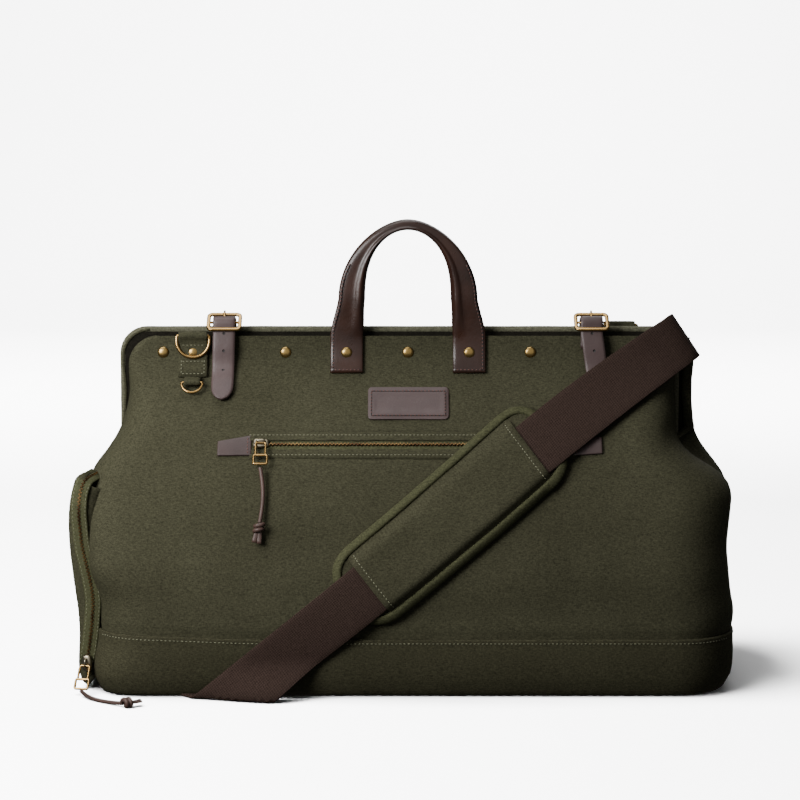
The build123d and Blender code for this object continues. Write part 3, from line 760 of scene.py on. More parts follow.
def stitches(name, path, out, material, length=1.9, gap=1.3, radius=0.36):
    """A row of thread stitches along points, each a small rounded bar that lies along out."""
    bars = []
    faces = []
    out = Vector(out)
    for centre, ahead in along(path, length + gap):
        up = (out - ahead * out.dot(ahead)).normalized()
        side = ahead.cross(up)
        start = len(bars)
        for t, size in ((-0.5, 0.35), (-0.32, 1.0), (0.32, 1.0), (0.5, 0.35)):
            middle = centre + ahead * length * t
            for k in range(6):
                a = 2 * pi * k / 6
                bars.append(middle + (side * cos(a) + up * sin(a)) * radius * size)
        for ring in range(3):
            faces += ring_faces(start + ring * 6, 6)
        faces.append(tuple(range(start, start + 6))[::-1])
        faces.append(tuple(range(start + 18, start + 24)))
    return add_mesh(name, bars, faces, material)


def seam(name, path, out):
    """A row of brown saddle stitches on a near-black tube that paints the shade in the groove the needle
    leaves.
    """
    sunk = [Vector(p) - Vector(out) * 0.35 for p in path]
    # the groove is a near-black tube: painted shade
    groove = tube("groove", sunk, 0.55, PAINTED_SHADE_BLACK, up=out, count=8)
    return join(name, [groove, stitches("bars", path, out, STITCH_BROWN, radius=0.5)])


def on_face(points, lift, side=-1):
    """Turns (x, z) points into points that lie lift above the front or back."""
    fine = []
    for (x0, z0), (x1, z1) in zip(points, points[1:]):
        count = max(2, int(hypot(x1 - x0, z1 - z0) / 4))
        fine += [(x0 + (x1 - x0) * k / count, z0 + (z1 - z0) * k / count) for k in range(count)]
    fine.append(points[-1])
    return [(x, side * (depth(z) + lift), z) for x, z in fine]


def box_loop(cx, cz, width, height):
    """The corners of an upright rectangle, and the first one again."""
    left, right = cx - width / 2, cx + width / 2
    low, high = cz - height / 2, cz + height / 2
    return [(left, low), (right, low), (right, high), (left, high), (left, low)]


def label():
    """The leather label: thin at its edge, highest just inside it, with a stitched border."""
    centre = (0.3, 236.2)

    def crown(u, v, edge):
        return 1.2 + 0.9 * ease(edge / 4) - 0.35 * ease((edge - 5) / 2)

    base = patch("label_patch", SMOOTH_LEATHER, centre, 68.6, 24.8, 3, crown, 1.8, rows=19, columns=45)
    place(base, "root", "smooth_leather", "label_patch")
    border = on_face(box_loop(*centre, 62.6, 18.8), 2.25)
    place(seam("label_stitches", border, (0, -0.7, 0.7)), "root", "smooth_leather")


def zip_tabs():
    """The leather tab at each end of the front zip, with one row of stitches."""
    pieces = []
    for name, (x0, x1), (near, far), drop in (("left", (-160, -131.5), (5.6, 7.7), -2.4),
                                              ("right", (138, 163), (7.6, 6.3), -0.2)):
        rows = []
        for t in spread(-1, 1, 9):
            row = []
            for u in spread(0, 1, 15):
                x = x0 + (x1 - x0) * u
                half = near + (far - near) * u
                z = ZIP_Z + drop * (1 - u) + half * t
                row.append((x, -(depth(z) + 1.7 + 0.4 * (1 - t * t)), z))
            rows.append(row)
        tab = ease_edges(thicken(grid(name + "_zip_tab", rows, TAB_LEATHER), 1.9), 0.7)
        pieces.append(tab)
        inner = x1 - 3.2 if name == "left" else x0 + 3.2
        line = on_face([(inner, ZIP_Z - 6.6), (inner, ZIP_Z + 6.6)], 2.1)
        pieces.append(stitches(name + "_tab_thread", line, (0, -0.6, 0.8), STITCH_BROWN, 2.0, 1.2, 0.45))
    place(join("zip_tabs", pieces), "root", "smooth_leather", "zip_tabs")


# ---------------------------------------------------------------- zips
def teeth(name, path, out, material, pitch=1.55, reach=1.5, height=1.3):
    """Zip teeth in two rows that mesh, along a run of points."""
    points = []
    faces = []
    out = Vector(out)
    for number, (centre, ahead) in enumerate(along(path, pitch)):
        up = (out - ahead * out.dot(ahead)).normalized()
        side = ahead.cross(up) * (1 if number % 2 else -1)
        start = len(points)
        for size, near, far, level in ((0.48, -0.5, reach, 0.0), (0.30, -0.25, reach - 0.2, height)):
            for a, b in ((-1, near), (1, near), (1, far), (-1, far)):
                points.append(centre + ahead * pitch * size * a + side * b + up * level)
        faces.append((start + 4, start + 5, start + 6, start + 7))
        faces += ring_faces(start, 4)
    return face_outward(add_mesh(name, points, faces, material, shade=False))


def front_zip():
    """The slot in the front with its turned edges, the tape, the teeth and the seams by it."""
    x0, x1 = ZIP_X
    tape_rows = []
    for z in spread(ZIP_Z - 7.6, ZIP_Z + 7.6, 7):
        tape_rows.append([(x, -(depth(z) + 0.5), z) for x in spread(x0 - 3, x1 + 3, 60)])
    tape = thicken(grid("front_zip_tape", tape_rows, TAPE), 1.0)
    place(tape, "root", "zip_tape", "front_zip_tape")

    for name, sign, lift in (("upper", 1, 1.9), ("lower", -1, 1.1)):
        rows = []
        fold = ((3.5, 0.6), (3.3, lift), (4.2, lift + 0.4), (6.2, lift), (8.4, 0.9), (10.8, 0.2))
        for k, (off, out) in enumerate(fold):
            row = []
            for x in spread(x0 - 2, x1 + 2, 90):
                wave = 0.35 * noise.noise(Vector((x * 0.06, sign * 3.0, k * 0.1)))
                z = ZIP_Z + sign * (off + wave)
                row.append((x, -(depth(z) + out), z))
            rows.append(row)
        welt = grid("zip_welt_" + name, rows[::sign], CANVAS)
        thicken(welt, 0.8)
        place(welt, "root", "canvas")
        z = ZIP_Z + sign * 7.6
        line = on_face([(x0 - 3, z), (x1 + 3, z)], lift * 0.6 + 0.5)
        thread_line = stitches("zip_seam_" + name, line, (0, -0.6, 0.8), STITCH_GREEN)
        place(thread_line, "root", "canvas")

    line = on_face([(x0 + 12, ZIP_Z), (x1, ZIP_Z)], 0.9)
    chain = teeth("front_zip_chain", line, (0, -0.6, 0.8), TOOTH_BRASS)
    place(chain, "root", "zip_metal", "front_zip_chain")


# the end pocket's outer line and its zip, as (x, z) points from the foot up
POCKET = [(-268, 0.8), (-275, 6), (-277.5, 20), (-277, 48), (-278, 68), (-281, 92), (-284, 118),
          (-284.5, 143), (-283.5, 158), (-281.5, 170), (-278.5, 181), (-271, 185.5), (-254, 188)]
ZIP_RUN = [(-269.5, 24), (-266.8, 37), (-264.6, 54), (-262.8, 76), (-265, 93), (-269, 110), (-272, 124),
           (-274.2, 150), (-273.4, 165), (-270, 178), (-261, 184)]
POCKET_HALF = 88.0


def pocket_line():
    """The pocket's outer line as evenly spaced (x, z) points on a smooth curve."""
    fine = rounded_path([(x, 0, z) for x, z in POCKET], 12, 6)
    return [(p.x, p.z, d) for p, d in evenly(fine, 70)]


def end_pocket():
    """The bulging pocket on the left end, as one wall that turns in on the front and the back."""
    wall = [(26, 0.955), (18, 0.995), (10, 1.008), (4.5, 1.0), (1.6, 0.975), (0.7, 0.93),
            (0.3, 0.86), (-0.3, 0.7), (-0.8, 0.5), (-1.1, 0.25), (-1.2, 0)]
    full = wall + [(a, -b) for a, b in wall[-2::-1]]
    rows = []
    for x, z, d in pocket_line():
        inward = Vector((d.z, 0, -d.x))
        row = []
        for inset, share in full:
            ripple = 0.9 * noise.noise(Vector((x * 0.02, share * 2.2, z * 0.02)))
            p = Vector((x, 0, z)) + inward * (inset + ripple)
            y = -share * POCKET_HALF * pocket_lean(x, z)
            row.append((p.x, y, max(p.z - pocket_fall(y, z), 0.6)))
        rows.append(row[::-1])
    flap = thicken(grid("end_pocket", rows, CANVAS), 1.6)
    place(flap, "root", "canvas", "end_pocket_flap", "end_zip_tape")


def end_pocket_zip():
    """The zip on the pocket's narrow front and back walls, with a seam on each side of it."""
    pieces = []
    tapes = []
    seams = []
    for side in (-1, 1):
        line = []
        for p in rounded_path([(x, 0, z) for x, z in ZIP_RUN], 20, 6):
            y = pocket_side(p.x, p.z, side)
            line.append((p.x, y, p.z - pocket_fall(y, p.z)))
        pieces.append(teeth("end_teeth", line, (0, side, 0), TOOTH_BRASS))
        frames = frames_along([(x, y - side * 0.5, z) for x, y, z in line], (0, side, 0))
        tapes.append(sweep("end_tape", frames, [oval(6.6, 0.8, 4, 12)] * len(frames), TAPE))
        for off in (-5.2, 5.2):
            edge = [origin + across * off + Vector((0, side * 0.6, 0)) for origin, across, _ in frames]
            seams.append(stitches("end_seam", edge, (0, side, 0), STITCH_GREEN, gap=1.4, radius=0.3))
    place(join("end_zip_teeth", pieces), "root", "zip_metal", "end_zip_chain")
    place(join("end_zip_tape_strips", tapes), "root", "zip_tape")
    place(join("end_pocket_seams", seams), "root", "canvas")


def pocket_lean(x, z):
    """How much narrower the end pocket is than at its foot; its top tucks in behind the front."""
    return 1 - 0.08 * ease((z - 150) / 40) - 0.25 * ease((x + 274) / 17) * ease((z - 168) / 8)


def pocket_fall(y, z):
    """How far the slack top of the end pocket drops away towards the back."""
    return 0.16 * max(0.0, y + POCKET_HALF) * ease((z - 110) / 70)


def pocket_side(x, z, side):
    """y of the zip on the narrow front or back wall of the end pocket at a height."""
    return side * (POCKET_HALF * pocket_lean(x, z) * 1.008 + 1.9)


# ---------------------------------------------------------------- rivets
def dome(name, centres, out, material):
    """Domed rivet caps, turned from one profile; each centre is on the face under its cap."""
    profile = [(4.9, -0.2), (4.9, 0.5), (4.5, 1.1), (3.6, 1.75), (2.4, 2.15), (1.1, 2.3), (0.0, 2.35)]
    count = 24
    points = []
    faces = []
    for centre in centres:
        axis = Vector(out(centre)).normalized()
        side = axis.orthogonal().normalized()
        up = axis.cross(side)
        start = len(points)
        for radius, rise in profile[:-1]:
            for k in range(count):
                a = 2 * pi * k / count
                points.append(Vector(centre) + (side * cos(a) + up * sin(a)) * radius + axis * rise)
        points.append(Vector(centre) + axis * profile[-1][1])
        for ring in range(len(profile) - 2):
            faces += ring_faces(start + ring * count, count)
        low = start + (len(profile) - 2) * count
        for k in range(count):
            faces.append((low + k, low + (k + 1) % count, len(points) - 1))
    return add_mesh(name, points, faces, material)


def rivets():
    for side, name, body in ((-1, "front", "root"), (1, "back", "back_frame")):
        centres = []
        for number in range(-4, 5):
            x = RIVET_PITCH * number
            on_handle = abs(abs(x) - HANDLE_X) < 1
            on_strap = abs(abs(x) - BILLET_X) < 1
            lift = 3.4 if on_handle or (on_strap and side > 0) else 2.4 if on_strap else 0.0
            centres.append((x, side * (depth(RIVET_Z) + lift), RIVET_Z))
        centres.append((side * RING_TAB_X, side * (depth(RIVET_Z) + 2.8), RIVET_Z))
        caps = dome(name + "_rivets", centres, lambda c: (0, side, 0.08), RIVET_BRASS)
        place(caps, body, "rivet_brass", name + "_rivets")


# ---------------------------------------------------------------- handles
def handle_line(side):
    """(point, half width, half thickness, section power) from one foot over to the other."""
    line = []
    y_top = side * HANDLE_PIVOT[0]
    for z in spread(259.9, 292, 12):
        lift = depth(z) + 2.1
        t = ease((z - 276) / 16)
        line.append(((-HANDLE_X, side * lift * (1 - t) + y_top * t, z), 14.0, 1.9 + 0.5 * t, 5.0))
    for z in spread(296, 318, 7):
        t = (z - 292) / 30
        line.append(((-HANDLE_X + 4.2 * t, y_top, z), 14.0 - 2.6 * ease(t), 2.4 + 2.8 * t, 5.0 - 1.8 * t))
    for a in spread(0, pi / 2, 22):
        t = sin(a)
        x, z = -48.2 * cos(a) ** 1.06, 322 + 63.4 * t
        line.append(((x, y_top, z), 4.2 + 7.2 * cos(a) ** 3.2, 5.2 - 0.4 * t, 3.2 - 0.9 * t))
    mirrored = [((-p[0], p[1], p[2]), w, b, n) for p, w, b, n in line[-2::-1]]
    return line + mirrored


def ridge(share):
    """How much thicker the handle is at a share of its half width; the inner edge is rolled."""
    return 0.75 * hump((share - 0.62) / 0.26) - 0.25


def handle_seams(side, line, frames):
    """A row of stitches across each foot, and one up the outer edge of each leg."""
    seams = []
    for mirror in (-1, 1):
        path = []
        for x in (mirror * (HANDLE_X - 11.6), mirror * (HANDLE_X + 11.6)):
            path.append((x, side * (depth(FOOT_SEAM_Z) + 4.1), FOOT_SEAM_Z))
        seams.append(seam("foot_seam", path, (0, side, 0.2)))
        outer = []
        for (origin, across, up), (p, w, b, n) in zip(frames, line):
            if origin.x * mirror > 0 and 262 < origin.z < 352:
                edge = across * (1 if (across.x * mirror) > 0 else -1)
                outer.append(origin + edge * (w - 2.6) + up * (b * 0.98 if w > 12 else b * 0.86))
        seams.append(seam("leg_seam", outer, (0, side, 0)))
    return seams


def handle(side, name):
    """One leather handle, swept as one piece from foot to foot, with the stitches on its feet and legs."""
    line = handle_line(side)
    frames = frames_along([p for p, w, b, n in line], (0, side, 0))
    sections = []
    for p, w, b, n in line:
        rolled = ease((p[2] - 285) / 20)
        sections.append([(u, v * (1 + rolled * ridge(-side * u / w))) for u, v in oval(w, b, n, 32)])
    grip = sweep(name, frames, sections, HANDLE_LEATHER)
    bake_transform(grip)
    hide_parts(name + "_feet", name + "_grip")

    thread_line = join(name + "_stitches", handle_seams(side, line, frames))
    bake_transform(thread_line)


# ---------------------------------------------------------------- rings and their tabs
def d_ring_points(width, drop, count=18):
    """A D in (x, y): the straight bar on the x axis, then the bow."""
    half = width / 2
    leg = max(drop - half, 0.2)
    bow = [(half * cos(a), leg + (drop - leg) * sin(a)) for a in spread(0, pi, count)]
    return [(x, 0) for x in spread(-half + 1, half - 1, 6)] + [(half, 0.6)] + bow + [(-half, 0.6)]


def hang(points, x, centre, lean):
    """Hangs (x, y) points from a bar along X, swung out by lean degrees."""
    c, s = cos(radians(lean)), sin(radians(lean))
    return [(x + a, centre[0] + b * s, centre[1] - b * c) for a, b in points]


# name, side of the bag, height of the large ring's bar, how far the ring leans, body of its tab
RINGS = (("front", -1, 291.0, 10, "root"), ("back", 1, 298.0, 44, "back_frame"))
LARGE_RING_Y = 13.0
SMALL_RING = (28.5, 252.6)


def rings():
    for name, side, bar_z, lean, base in RINGS:
        x = side * RING_TAB_X
        large = hang(d_ring_points(28, 18.5), x, (side * LARGE_RING_Y, bar_z), side * lean)
        ring = tube(name + "_ring_large", large, 1.5, BRASS, up=(0, side, 0.3), closed=True, count=14)
        place(ring, name + "_ring_large", "ring_brass", name + "_ring_large")
        small = hang(d_ring_points(18, 9.2), x, (side * SMALL_RING[0], SMALL_RING[1]), side * 30)
        ring = tube(name + "_ring_small", small, 1.1, BRASS, up=(0, side, 0.5), closed=True, count=12)
        place(ring, name + "_ring_small", "ring_brass", name + "_ring_small")


def wrap(centre, radius, turns, side=1):
    """(y, z) points round a bar, at angles in degrees."""
    y, z = centre
    return [(side * (y + radius * cos(radians(a))), z + radius * sin(radians(a))) for a in turns]


def ring_tab(name, side, bar_z, base):
    """The folded canvas tab that holds both rings, with its rows of stitches."""
    x = side * RING_TAB_X
    line = [(side * (depth(z) + 1.6), z) for z in spread(256.5, 284, 9)]
    line += [(side * 10.6, 288.5), (side * 10.0, bar_z)]
    line += wrap((LARGE_RING_Y, bar_z), 2.7, spread(170, 20, 9) + [0, -25, -50], side)
    line += [(side * 12.9, 286.4), (side * (depth(280) + 3.4), 282), (side * (depth(272) + 3.2), 272)]
    line += [(side * (depth(z) + 2.9), z) for z in (264, 257.4)]
    tab = sweep_along(name + "_tab", [(x, y, z) for y, z in line], (1, 0, 0), oval(0.9, 12.4, 6, 20), CANVAS)

    loop = [(side * (depth(262) + 1.0), 262.0), (side * (depth(256) + 1.4), 256.2)]
    loop = [(x, y, z) for y, z in loop + wrap(SMALL_RING, 1.9, spread(110, -200, 12), side)]
    small = sweep_along(name + "_small_loop", loop, (1, 0, 0), oval(0.7, 7.0, 6, 16), CANVAS)

    runs = [((x - 9.6, z), (x + 9.6, z)) for z in (259.4, 269.5, 283.0)]
    runs += [((x + dx, 259.4), (x + dx, 269.5)) for dx in (-9.8, 9.8)]
    seams = []
    for run in runs:
        row = on_face(run, 4.4, side)
        seams.append(stitches("tab_row", row, (0, side, 0.3), STITCH_GREEN))
    place(join(name + "_ring_tab", [tab, small] + seams), base, "canvas", name + "_ring_tab")


# ---------------------------------------------------------------- closing straps
BUCKLE_CENTRE = (-9.0, 302.0)
BUCKLE_LEAN = (0.816, 0.577)
BILLET_LINE = [(12.8, 262), (12.3, 270), (11.4, 281), (9.8, 296.4), (6.4, 302.6), (0.4, 304.6),
               (-9.0, 306.4), (-12.9, 304.2), (-13.2, 296.0), (-14.9, 290.0), (-16.6, 281.0),
               (-17.0, 272.0), (-17.6, 266.0), (-21.4, 257.0), (-38.2, 238.4)]
BILLET_HOLES = (292.0, 277.5, 263.0)
BILLET_LENGTH = 112.0
BILLET_HALF = 9.5
BILLET_TIP = 12.5


def billet_frames(x):
    path = rounded_path([(x, y, z) for y, z in BILLET_LINE], 5.0, 5)
    return frames_along([p for p, d in evenly(path, 64)], (1, 0, 0))


def hole(centre, ahead, outward):
    """A round hole, made as a short near-black plug that paints the shade in the hole and just shows above
    the leather.
    """
    across = ahead.cross(outward)
    turns = spread(0, 2 * pi, 15)[:-1]
    ring = [centre + ahead * 1.25 * cos(a) + across * 1.25 * sin(a) for a in turns]
    foot = [p - outward * 1.0 for p in ring]
    return add_mesh("hole", ring + foot, [tuple(range(14))] + ring_faces(0, 14), PAINTED_SHADE_BLACK)


def billet(x, name, slant):
    """A closing strap with a round tip and three holes; slant moves its hanging end sideways."""
    frames = billet_frames(x)
    count = len(frames)
    placed = []
    sections = []
    for k, (origin, side, up) in enumerate(frames):
        left = (count - 1 - k) / (count - 1) * BILLET_LENGTH
        half = BILLET_HALF
        if left < BILLET_TIP:
            half = BILLET_HALF * sqrt(max(0.02, 1 - (1 - left / BILLET_TIP) ** 2.2))
        drop = max(0.0, BILLET_HOLES[0] - origin.z) if origin.y < 0 else 0.0
        placed.append((origin + Vector((slant * drop, 0, 0)), side, up))
        sections.append(oval(1.35, half, 7, 24))
    strap = sweep(name + "_billet", placed, sections, SMOOTH_LEATHER)
    holes = []
    for z in BILLET_HOLES:
        near = min((f for f in placed if f[0].y < -12), key=lambda f: abs(f[0].z - z))
        outward = near[1] if near[1].y < 0 else -near[1]
        holes.append(hole(near[0] + outward * 1.36, near[2], outward))
    place(join(name + "_billet_strap", [strap] + holes), name + "_billet", "smooth_leather", name + "_billet")


def wire_loop(at, half, near, far, radius, steps=5):
    """A rectangle with round corners, drawn with at(across, ahead)."""
    corners = [at(half, near), at(half, far), at(-half, far), at(-half, near)]
    return rounded_path(corners, radius, steps, closed=True)


def buckle(x, name):
    """A buckle's frame with its bar, and the prong that turns on the bar."""
    lean = Matrix(((1, 0, 0), (0, BUCKLE_LEAN[0], -BUCKLE_LEAN[1]), (0, BUCKLE_LEAN[1], BUCKLE_LEAN[0])))
    out = lean @ Vector((0, 0, 1))

    def at(u, v, w=0.0):
        return Vector((x, *BUCKLE_CENTRE)) + lean @ Vector((u, v, w))

    loop = wire_loop(at, 13.4, -8.8, 10.6, 3.6, 6)
    rim = sweep_along("rim", loop, out, oval(1.7, 1.25, 4.5, 16), BRASS, closed=True)
    bar = tube("bar", [at(-13.2, 0), at(0, 0), at(13.2, 0)], 1.15, BRASS)
    place(join(name + "_buckle_frame", [rim, bar]), name + "_buckle", "ring_brass", name + "_buckle")
    prong_line = [at(0, 0.2, 1.9), at(0, 4, 2.3), at(0, 8, 2.7), at(0, 11.8, 2.9), at(0, 13.0, 2.3)]
    sections = [oval(r, r * 0.85, 2.5, 12) for r in (1.2, 1.1, 1.0, 0.9, 0.5)]
    prong = sweep("prong", frames_along(prong_line, out), sections, BRASS)
    eye = tube("eye", [at(-1.4, 0), at(1.4, 0)], 2.1, BRASS)
    place(join(name + "_buckle_prong", [prong, eye]), name + "_prong", "ring_brass", name + "_prong")


def chapes():
    """The short leather loops on the front that hold the two buckles."""
    pieces = []
    for x in (-BILLET_X, BILLET_X):
        line = [(-(depth(z) + 1.4), z) for z in spread(280, 286, 3)] + [(-10.2, 290), (-10.2, 296)]
        line += wrap(BUCKLE_CENTRE, 2.0, spread(200, -60, 10))
        path = [(x, y, z) for y, z in line]
        pieces.append(sweep_along("chape", path, (1, 0, 0), oval(0.9, 9.4, 6, 18), TAB_LEATHER))
    place(join("chapes", pieces), "root", "dark_leather", "chapes")


# ---------------------------------------------------------------- zip sliders, pulls and laces
def on_front(x, z):
    """A point on the front with the directions right, up along the cloth, and out of it."""
    slope = atan2(depth(z) - depth(z + 1.0), 1.0)
    up = Vector((0, sin(slope), cos(slope)))
    return Vector((x, -depth(z), z)), Vector((1, 0, 0)), up, Vector((0, -cos(slope), sin(slope)))


def slider(name, origin, along_zip, across, out, body):
    """A zip slider: its wedge body and the bridge over it."""
    def at(u, v, w):
        return origin + along_zip * u + across * v + out * w

    half = [(-7, -2.6), (-5.5, -4.2), (0, -4.4), (5.5, -3.4), (7, -2.4)]
    outline = half + [(u, -v) for u, v in half[::-1]]
    body_rows = []
    for level, grow in ((0.9, 1.0), (2.0, 1.0), (3.4, 0.93), (4.0, 0.75)):
        body_rows.append([at(u * grow, v * grow, level) for u, v in outline])
    wedge = grid("slider_body", body_rows, NICKEL, around=True, cap=True)
    arch = rounded_path([at(-3.6, 0, 3.2), at(-3.4, 0, 7.2), at(3.4, 0, 7.2), at(3.6, 0, 3.2)], 2.2)
    bridge = tube("bridge", arch, 1.0, NICKEL, up=across)
    place(join(name + "_slider_body", [wedge, bridge]), body, "slider_metal", name + "_slider")


def wire_pull(name, hinge, right, down, body):
    """Two loops of wire: a narrow one through the slider and a square one for the lace."""
    def at(a, b):
        return hinge + right * a + down * b

    flat = (at(1, 0) - at(0, 0)).cross(at(0, 1) - at(0, 0))
    narrow = wire_loop(at, 4.2, 0, 12.2, 1.4)
    square = wire_loop(at, 5.6, 12.0, 20.6, 1.4)
    pieces = [tube("narrow", narrow, 1.0, BRASS, up=flat, closed=True),
              tube("square", square, 1.05, BRASS, up=flat, closed=True)]
    place(join(name + "_pull_wire", pieces), body, "ring_brass", name + "_pull")


FRONT_LACE = [(-123.2, -83.4, 187.4), (-121.2, -87.6, 177.0), (-120.4, -93.2, 166.0),
              (-121.0, -99.4, 155.0), (-122.8, -104.8, 144.6)]
END_LACE = [(-271.2, -112.8, 4.4), (-265.5, -123.0, 2.4), (-256.4, -132.6, 1.8),
            (-245.0, -141.4, 1.9), (-233.0, -149.6, 3.0)]
LACE_RADIUS = 1.7


def lace(name, points, knot, body):
    """A leather lace as one smooth curve, ending in its knot."""
    curve = bpy.data.curves.new(name, "CURVE")
    curve.dimensions = "3D"
    curve.bevel_depth = LACE_RADIUS * MM
    curve.bevel_resolution = 4
    curve.use_fill_caps = True
    spline = curve.splines.new("NURBS")
    spline.points.add(len(points) - 1)
    for point, place_at in zip(spline.points, points):
        point.co = (*(Vector(place_at) * MM), 1)
    spline.order_u = 3
    spline.use_endpoint_u = True
    spline.resolution_u = 12
    curve.materials.append(LACE_LEATHER)
    piece = bpy.data.objects.new(name, curve)
    bpy.context.scene.collection.objects.link(piece)
    place(piece, body, "dark_leather", body + "_lace")
    place(knot, body, "dark_leather", body + "_knot")


def lace_knot(name, centre, ahead, side, tail=10.0):
    """An overhand knot with two short, flat tails."""
    size = 1.3
    centre, ahead, side = Vector(centre), Vector(ahead).normalized(), Vector(side).normalized()
    out = ahead.cross(side).normalized()
    turns = []
    for t in spread(0, 1, 34):
        a = t * 2 * pi * 1.75
        turns.append(centre + (side * 2.5 * cos(a) + out * 2.3 * sin(a) + ahead * (t - 0.5) * 5.0) * size)
    pieces = [tube("turns", turns, 1.9, LACE_LEATHER, up=ahead, count=10)]
    for sign, reach in ((-1, tail), (1, tail * 1.1)):
        path = [centre - ahead * 1.0, centre + ahead * 3 + side * sign * 1.0,
                centre + ahead * (3 + reach * 0.5) + side * sign * 1.9,
                centre + ahead * (2 + reach) + side * sign * 2.1 + out * 0.6]
        path = rounded_path(path, 3, 4)
        pieces.append(sweep_along("tail", path, out, oval(2.0, 0.9, 4, 12), LACE_LEATHER))
    return join(name, pieces)


def zip_hardware():
    """Both zips' sliders, pulls and laces; the end pull leans out, its lace is on the floor."""
    origin, right, up, out = on_front(-123.5, ZIP_Z)
    slider("front_zip", origin, right, up, out, "front_slider")
    wire_pull("front_zip", origin - up * 1.5 + out * 5.6, right, -up, "front_pull")
    knot = lace_knot("front_lace_knot", (-123.4, -106.6, 140.4), (-0.15, -0.2, -1), (1, 0, 0))
    lace("front_lace", FRONT_LACE, knot, "front_pull")

    origin = Vector((-268.5, -POCKET_HALF - 4.6, 24.0))
    right = Vector((0.98, -0.2, 0))
    out = Vector((-0.2, -0.98, 0))
    up = Vector((0, 0, 1))
    slider("end_zip", origin - out * 1.2, up, right, out, "end_slider")
    lean = radians(35)
    down = (out * sin(lean) - up * cos(lean)).normalized()
    wire_pull("end_zip", origin - up * 1.5 + out * 5.6, right, down, "end_pull")
    knot = lace_knot("end_lace_knot", (-229.2, -152.0, 4.1), (0.85, 0.5, -0.02), (-0.5, 0.85, 0))
    lace("end_lace", END_LACE, knot, "end_pull")


# ---------------------------------------------------------------- shoulder strap
STRAP_LINE = [(-145.5, 0.6), (-31.6, 92.8), (37.0, 149.8), (107.4, 203.9), (214.0, 276.0)]
PAD_CENTRE = (35.0, 148.6)
PAD_ANGLE = radians(38.6)
PAD_SIZE = (221.0, 73.0)
SLEEVE_HALF = 86.0


def strap_lift(x, z):
    """How far the webbing stands off the front: more where it runs through the pad."""
    away = abs((x - PAD_CENTRE[0]) * cos(PAD_ANGLE) + (z - PAD_CENTRE[1]) * sin(PAD_ANGLE))
    at_floor = (3 + 16 * ease((x + 185) / 75)) * ease((34 - z) / 34)
    return 6.0 + 4.0 * (1 - ease((away - 92) / 80)) + at_floor


def strap_front():
    """The webbing across the front and round the top right corner, as one strip."""
    (x0, z0), (x1, z1) = STRAP_LINE[:2]
    foot = (x0 - 0.32 * (x1 - x0), z0 - 0.32 * (z1 - z0))
    path = rounded_path([(x, 0, z) for x, z in [foot] + STRAP_LINE], 50, 9)
    rows = []
    line = evenly(path, 110)
    for p, d in line:
        across = Vector((-d.z, 0, d.x))
        row = []
        for s in spread(-1, 1, 11):
            q = p + across * s * STRAP_WIDTH / 2
            z = max(q.z, 1.8)
            under = max(0.0, 1.8 - q.z)
            out = smooth(DEPTH, z, 26) + strap_lift(q.x, z) - 0.5 * abs(s) ** 6
            row.append((q.x + 0.3 * under, under - out, z))
        rows.append(row)
    last, d = line[-1]
    lean = [y - rows[-1][5][1] for x, y, z in rows[-1]]
    across = Vector((-d.z, 0, d.x))
    turn = [(6, -17.0, 0), (14, -16.6, 0), (22, -16.2, 0), (28, -13.0, 0), (31, -7, 1), (31.8, 0, 3),
            (31, 7, 5), (28, 12.5, 7), (21, 15.6, 9), (12, 16.9, 11)]
    for s_along, y, drop in turn:
        base = last + d * s_along - Vector((0, 0, drop))
        half = STRAP_WIDTH / 2 - 0.25 * drop
        row = []
        fade = max(0.0, 1 - s_along / 30) if y < 0 else 0.0
        for s, tip in zip(spread(-1, 1, 11), lean):
            q = base + across * s * half
            row.append((q.x, y + tip * fade, q.z))
        rows.append(row)
    web = thicken(grid("strap_front", [row[::-1] for row in rows], STRAP_WEB), 2.2, 0.0)
    ease_edges(web, 0.6)
    place(web, "root", "webbing", "strap_front")


def strap_slack():
    """The webbing's way down behind the bag to the upper hook."""
    slack = [(230, 26, 283), (218, 44, 252), (206, 62, 226), (197, 74, 214), (190, 66, 222),
             (185.6, 50, 236), (184.2, 41.6, 247.2)]
    path = rounded_path(slack, 14, 6)
    turned = sweep_along("strap_slack", path, (0.75, 0.2, 0.5), oval(1.1, STRAP_WIDTH / 2, 8, 16), STRAP_WEB)
    place(turned, "root", "webbing", "strap_turn")


def strap_tail():
    """The strap's other end: under the base, and flat on the floor behind the bag."""
    under = Vector((-0.3, 0.95, 0))
    side = Vector((0.95, 0.3, 0)) * (STRAP_WIDTH / 2)
    start = Vector((-182.8, 0, 1.3))
    path = [start + under * s for s in spread(-104, 136, 20)]
    frames = [(p, side.normalized(), Vector((0, 0, 1))) for p in path]
    lower = sweep("under", frames, [oval(STRAP_WIDTH / 2, 1.05, 8, 16)] * len(frames), STRAP_WEB)
    path = [Vector((x, 152.5, 1.4 + 1.4 * ease((x + 250) / 60))) for x in spread(-250, -48, 30)]
    frames = [(p, Vector((0, 1, 0)), Vector((0, 0, 1))) for p in path]
    tail = sweep("tail", frames, [oval(STRAP_WIDTH / 2, 1.1, 8, 16)] * len(frames), STRAP_WEB)
    place(join("strap_tail", [lower, tail]), "root", "webbing", "strap_end")


def on_pad(u, v, lift):
    """The point at (u, v) along and across the pad, lift above the front."""
    x, z = turned_point(PAD_CENTRE, PAD_ANGLE, u, v)
    return x, -(depth(z) + lift), z


def pad_lift(u, v, edge):
    return 2.2 + 4.3 * ease(edge / 7) + 0.9 * ease((edge - 12) / 20)


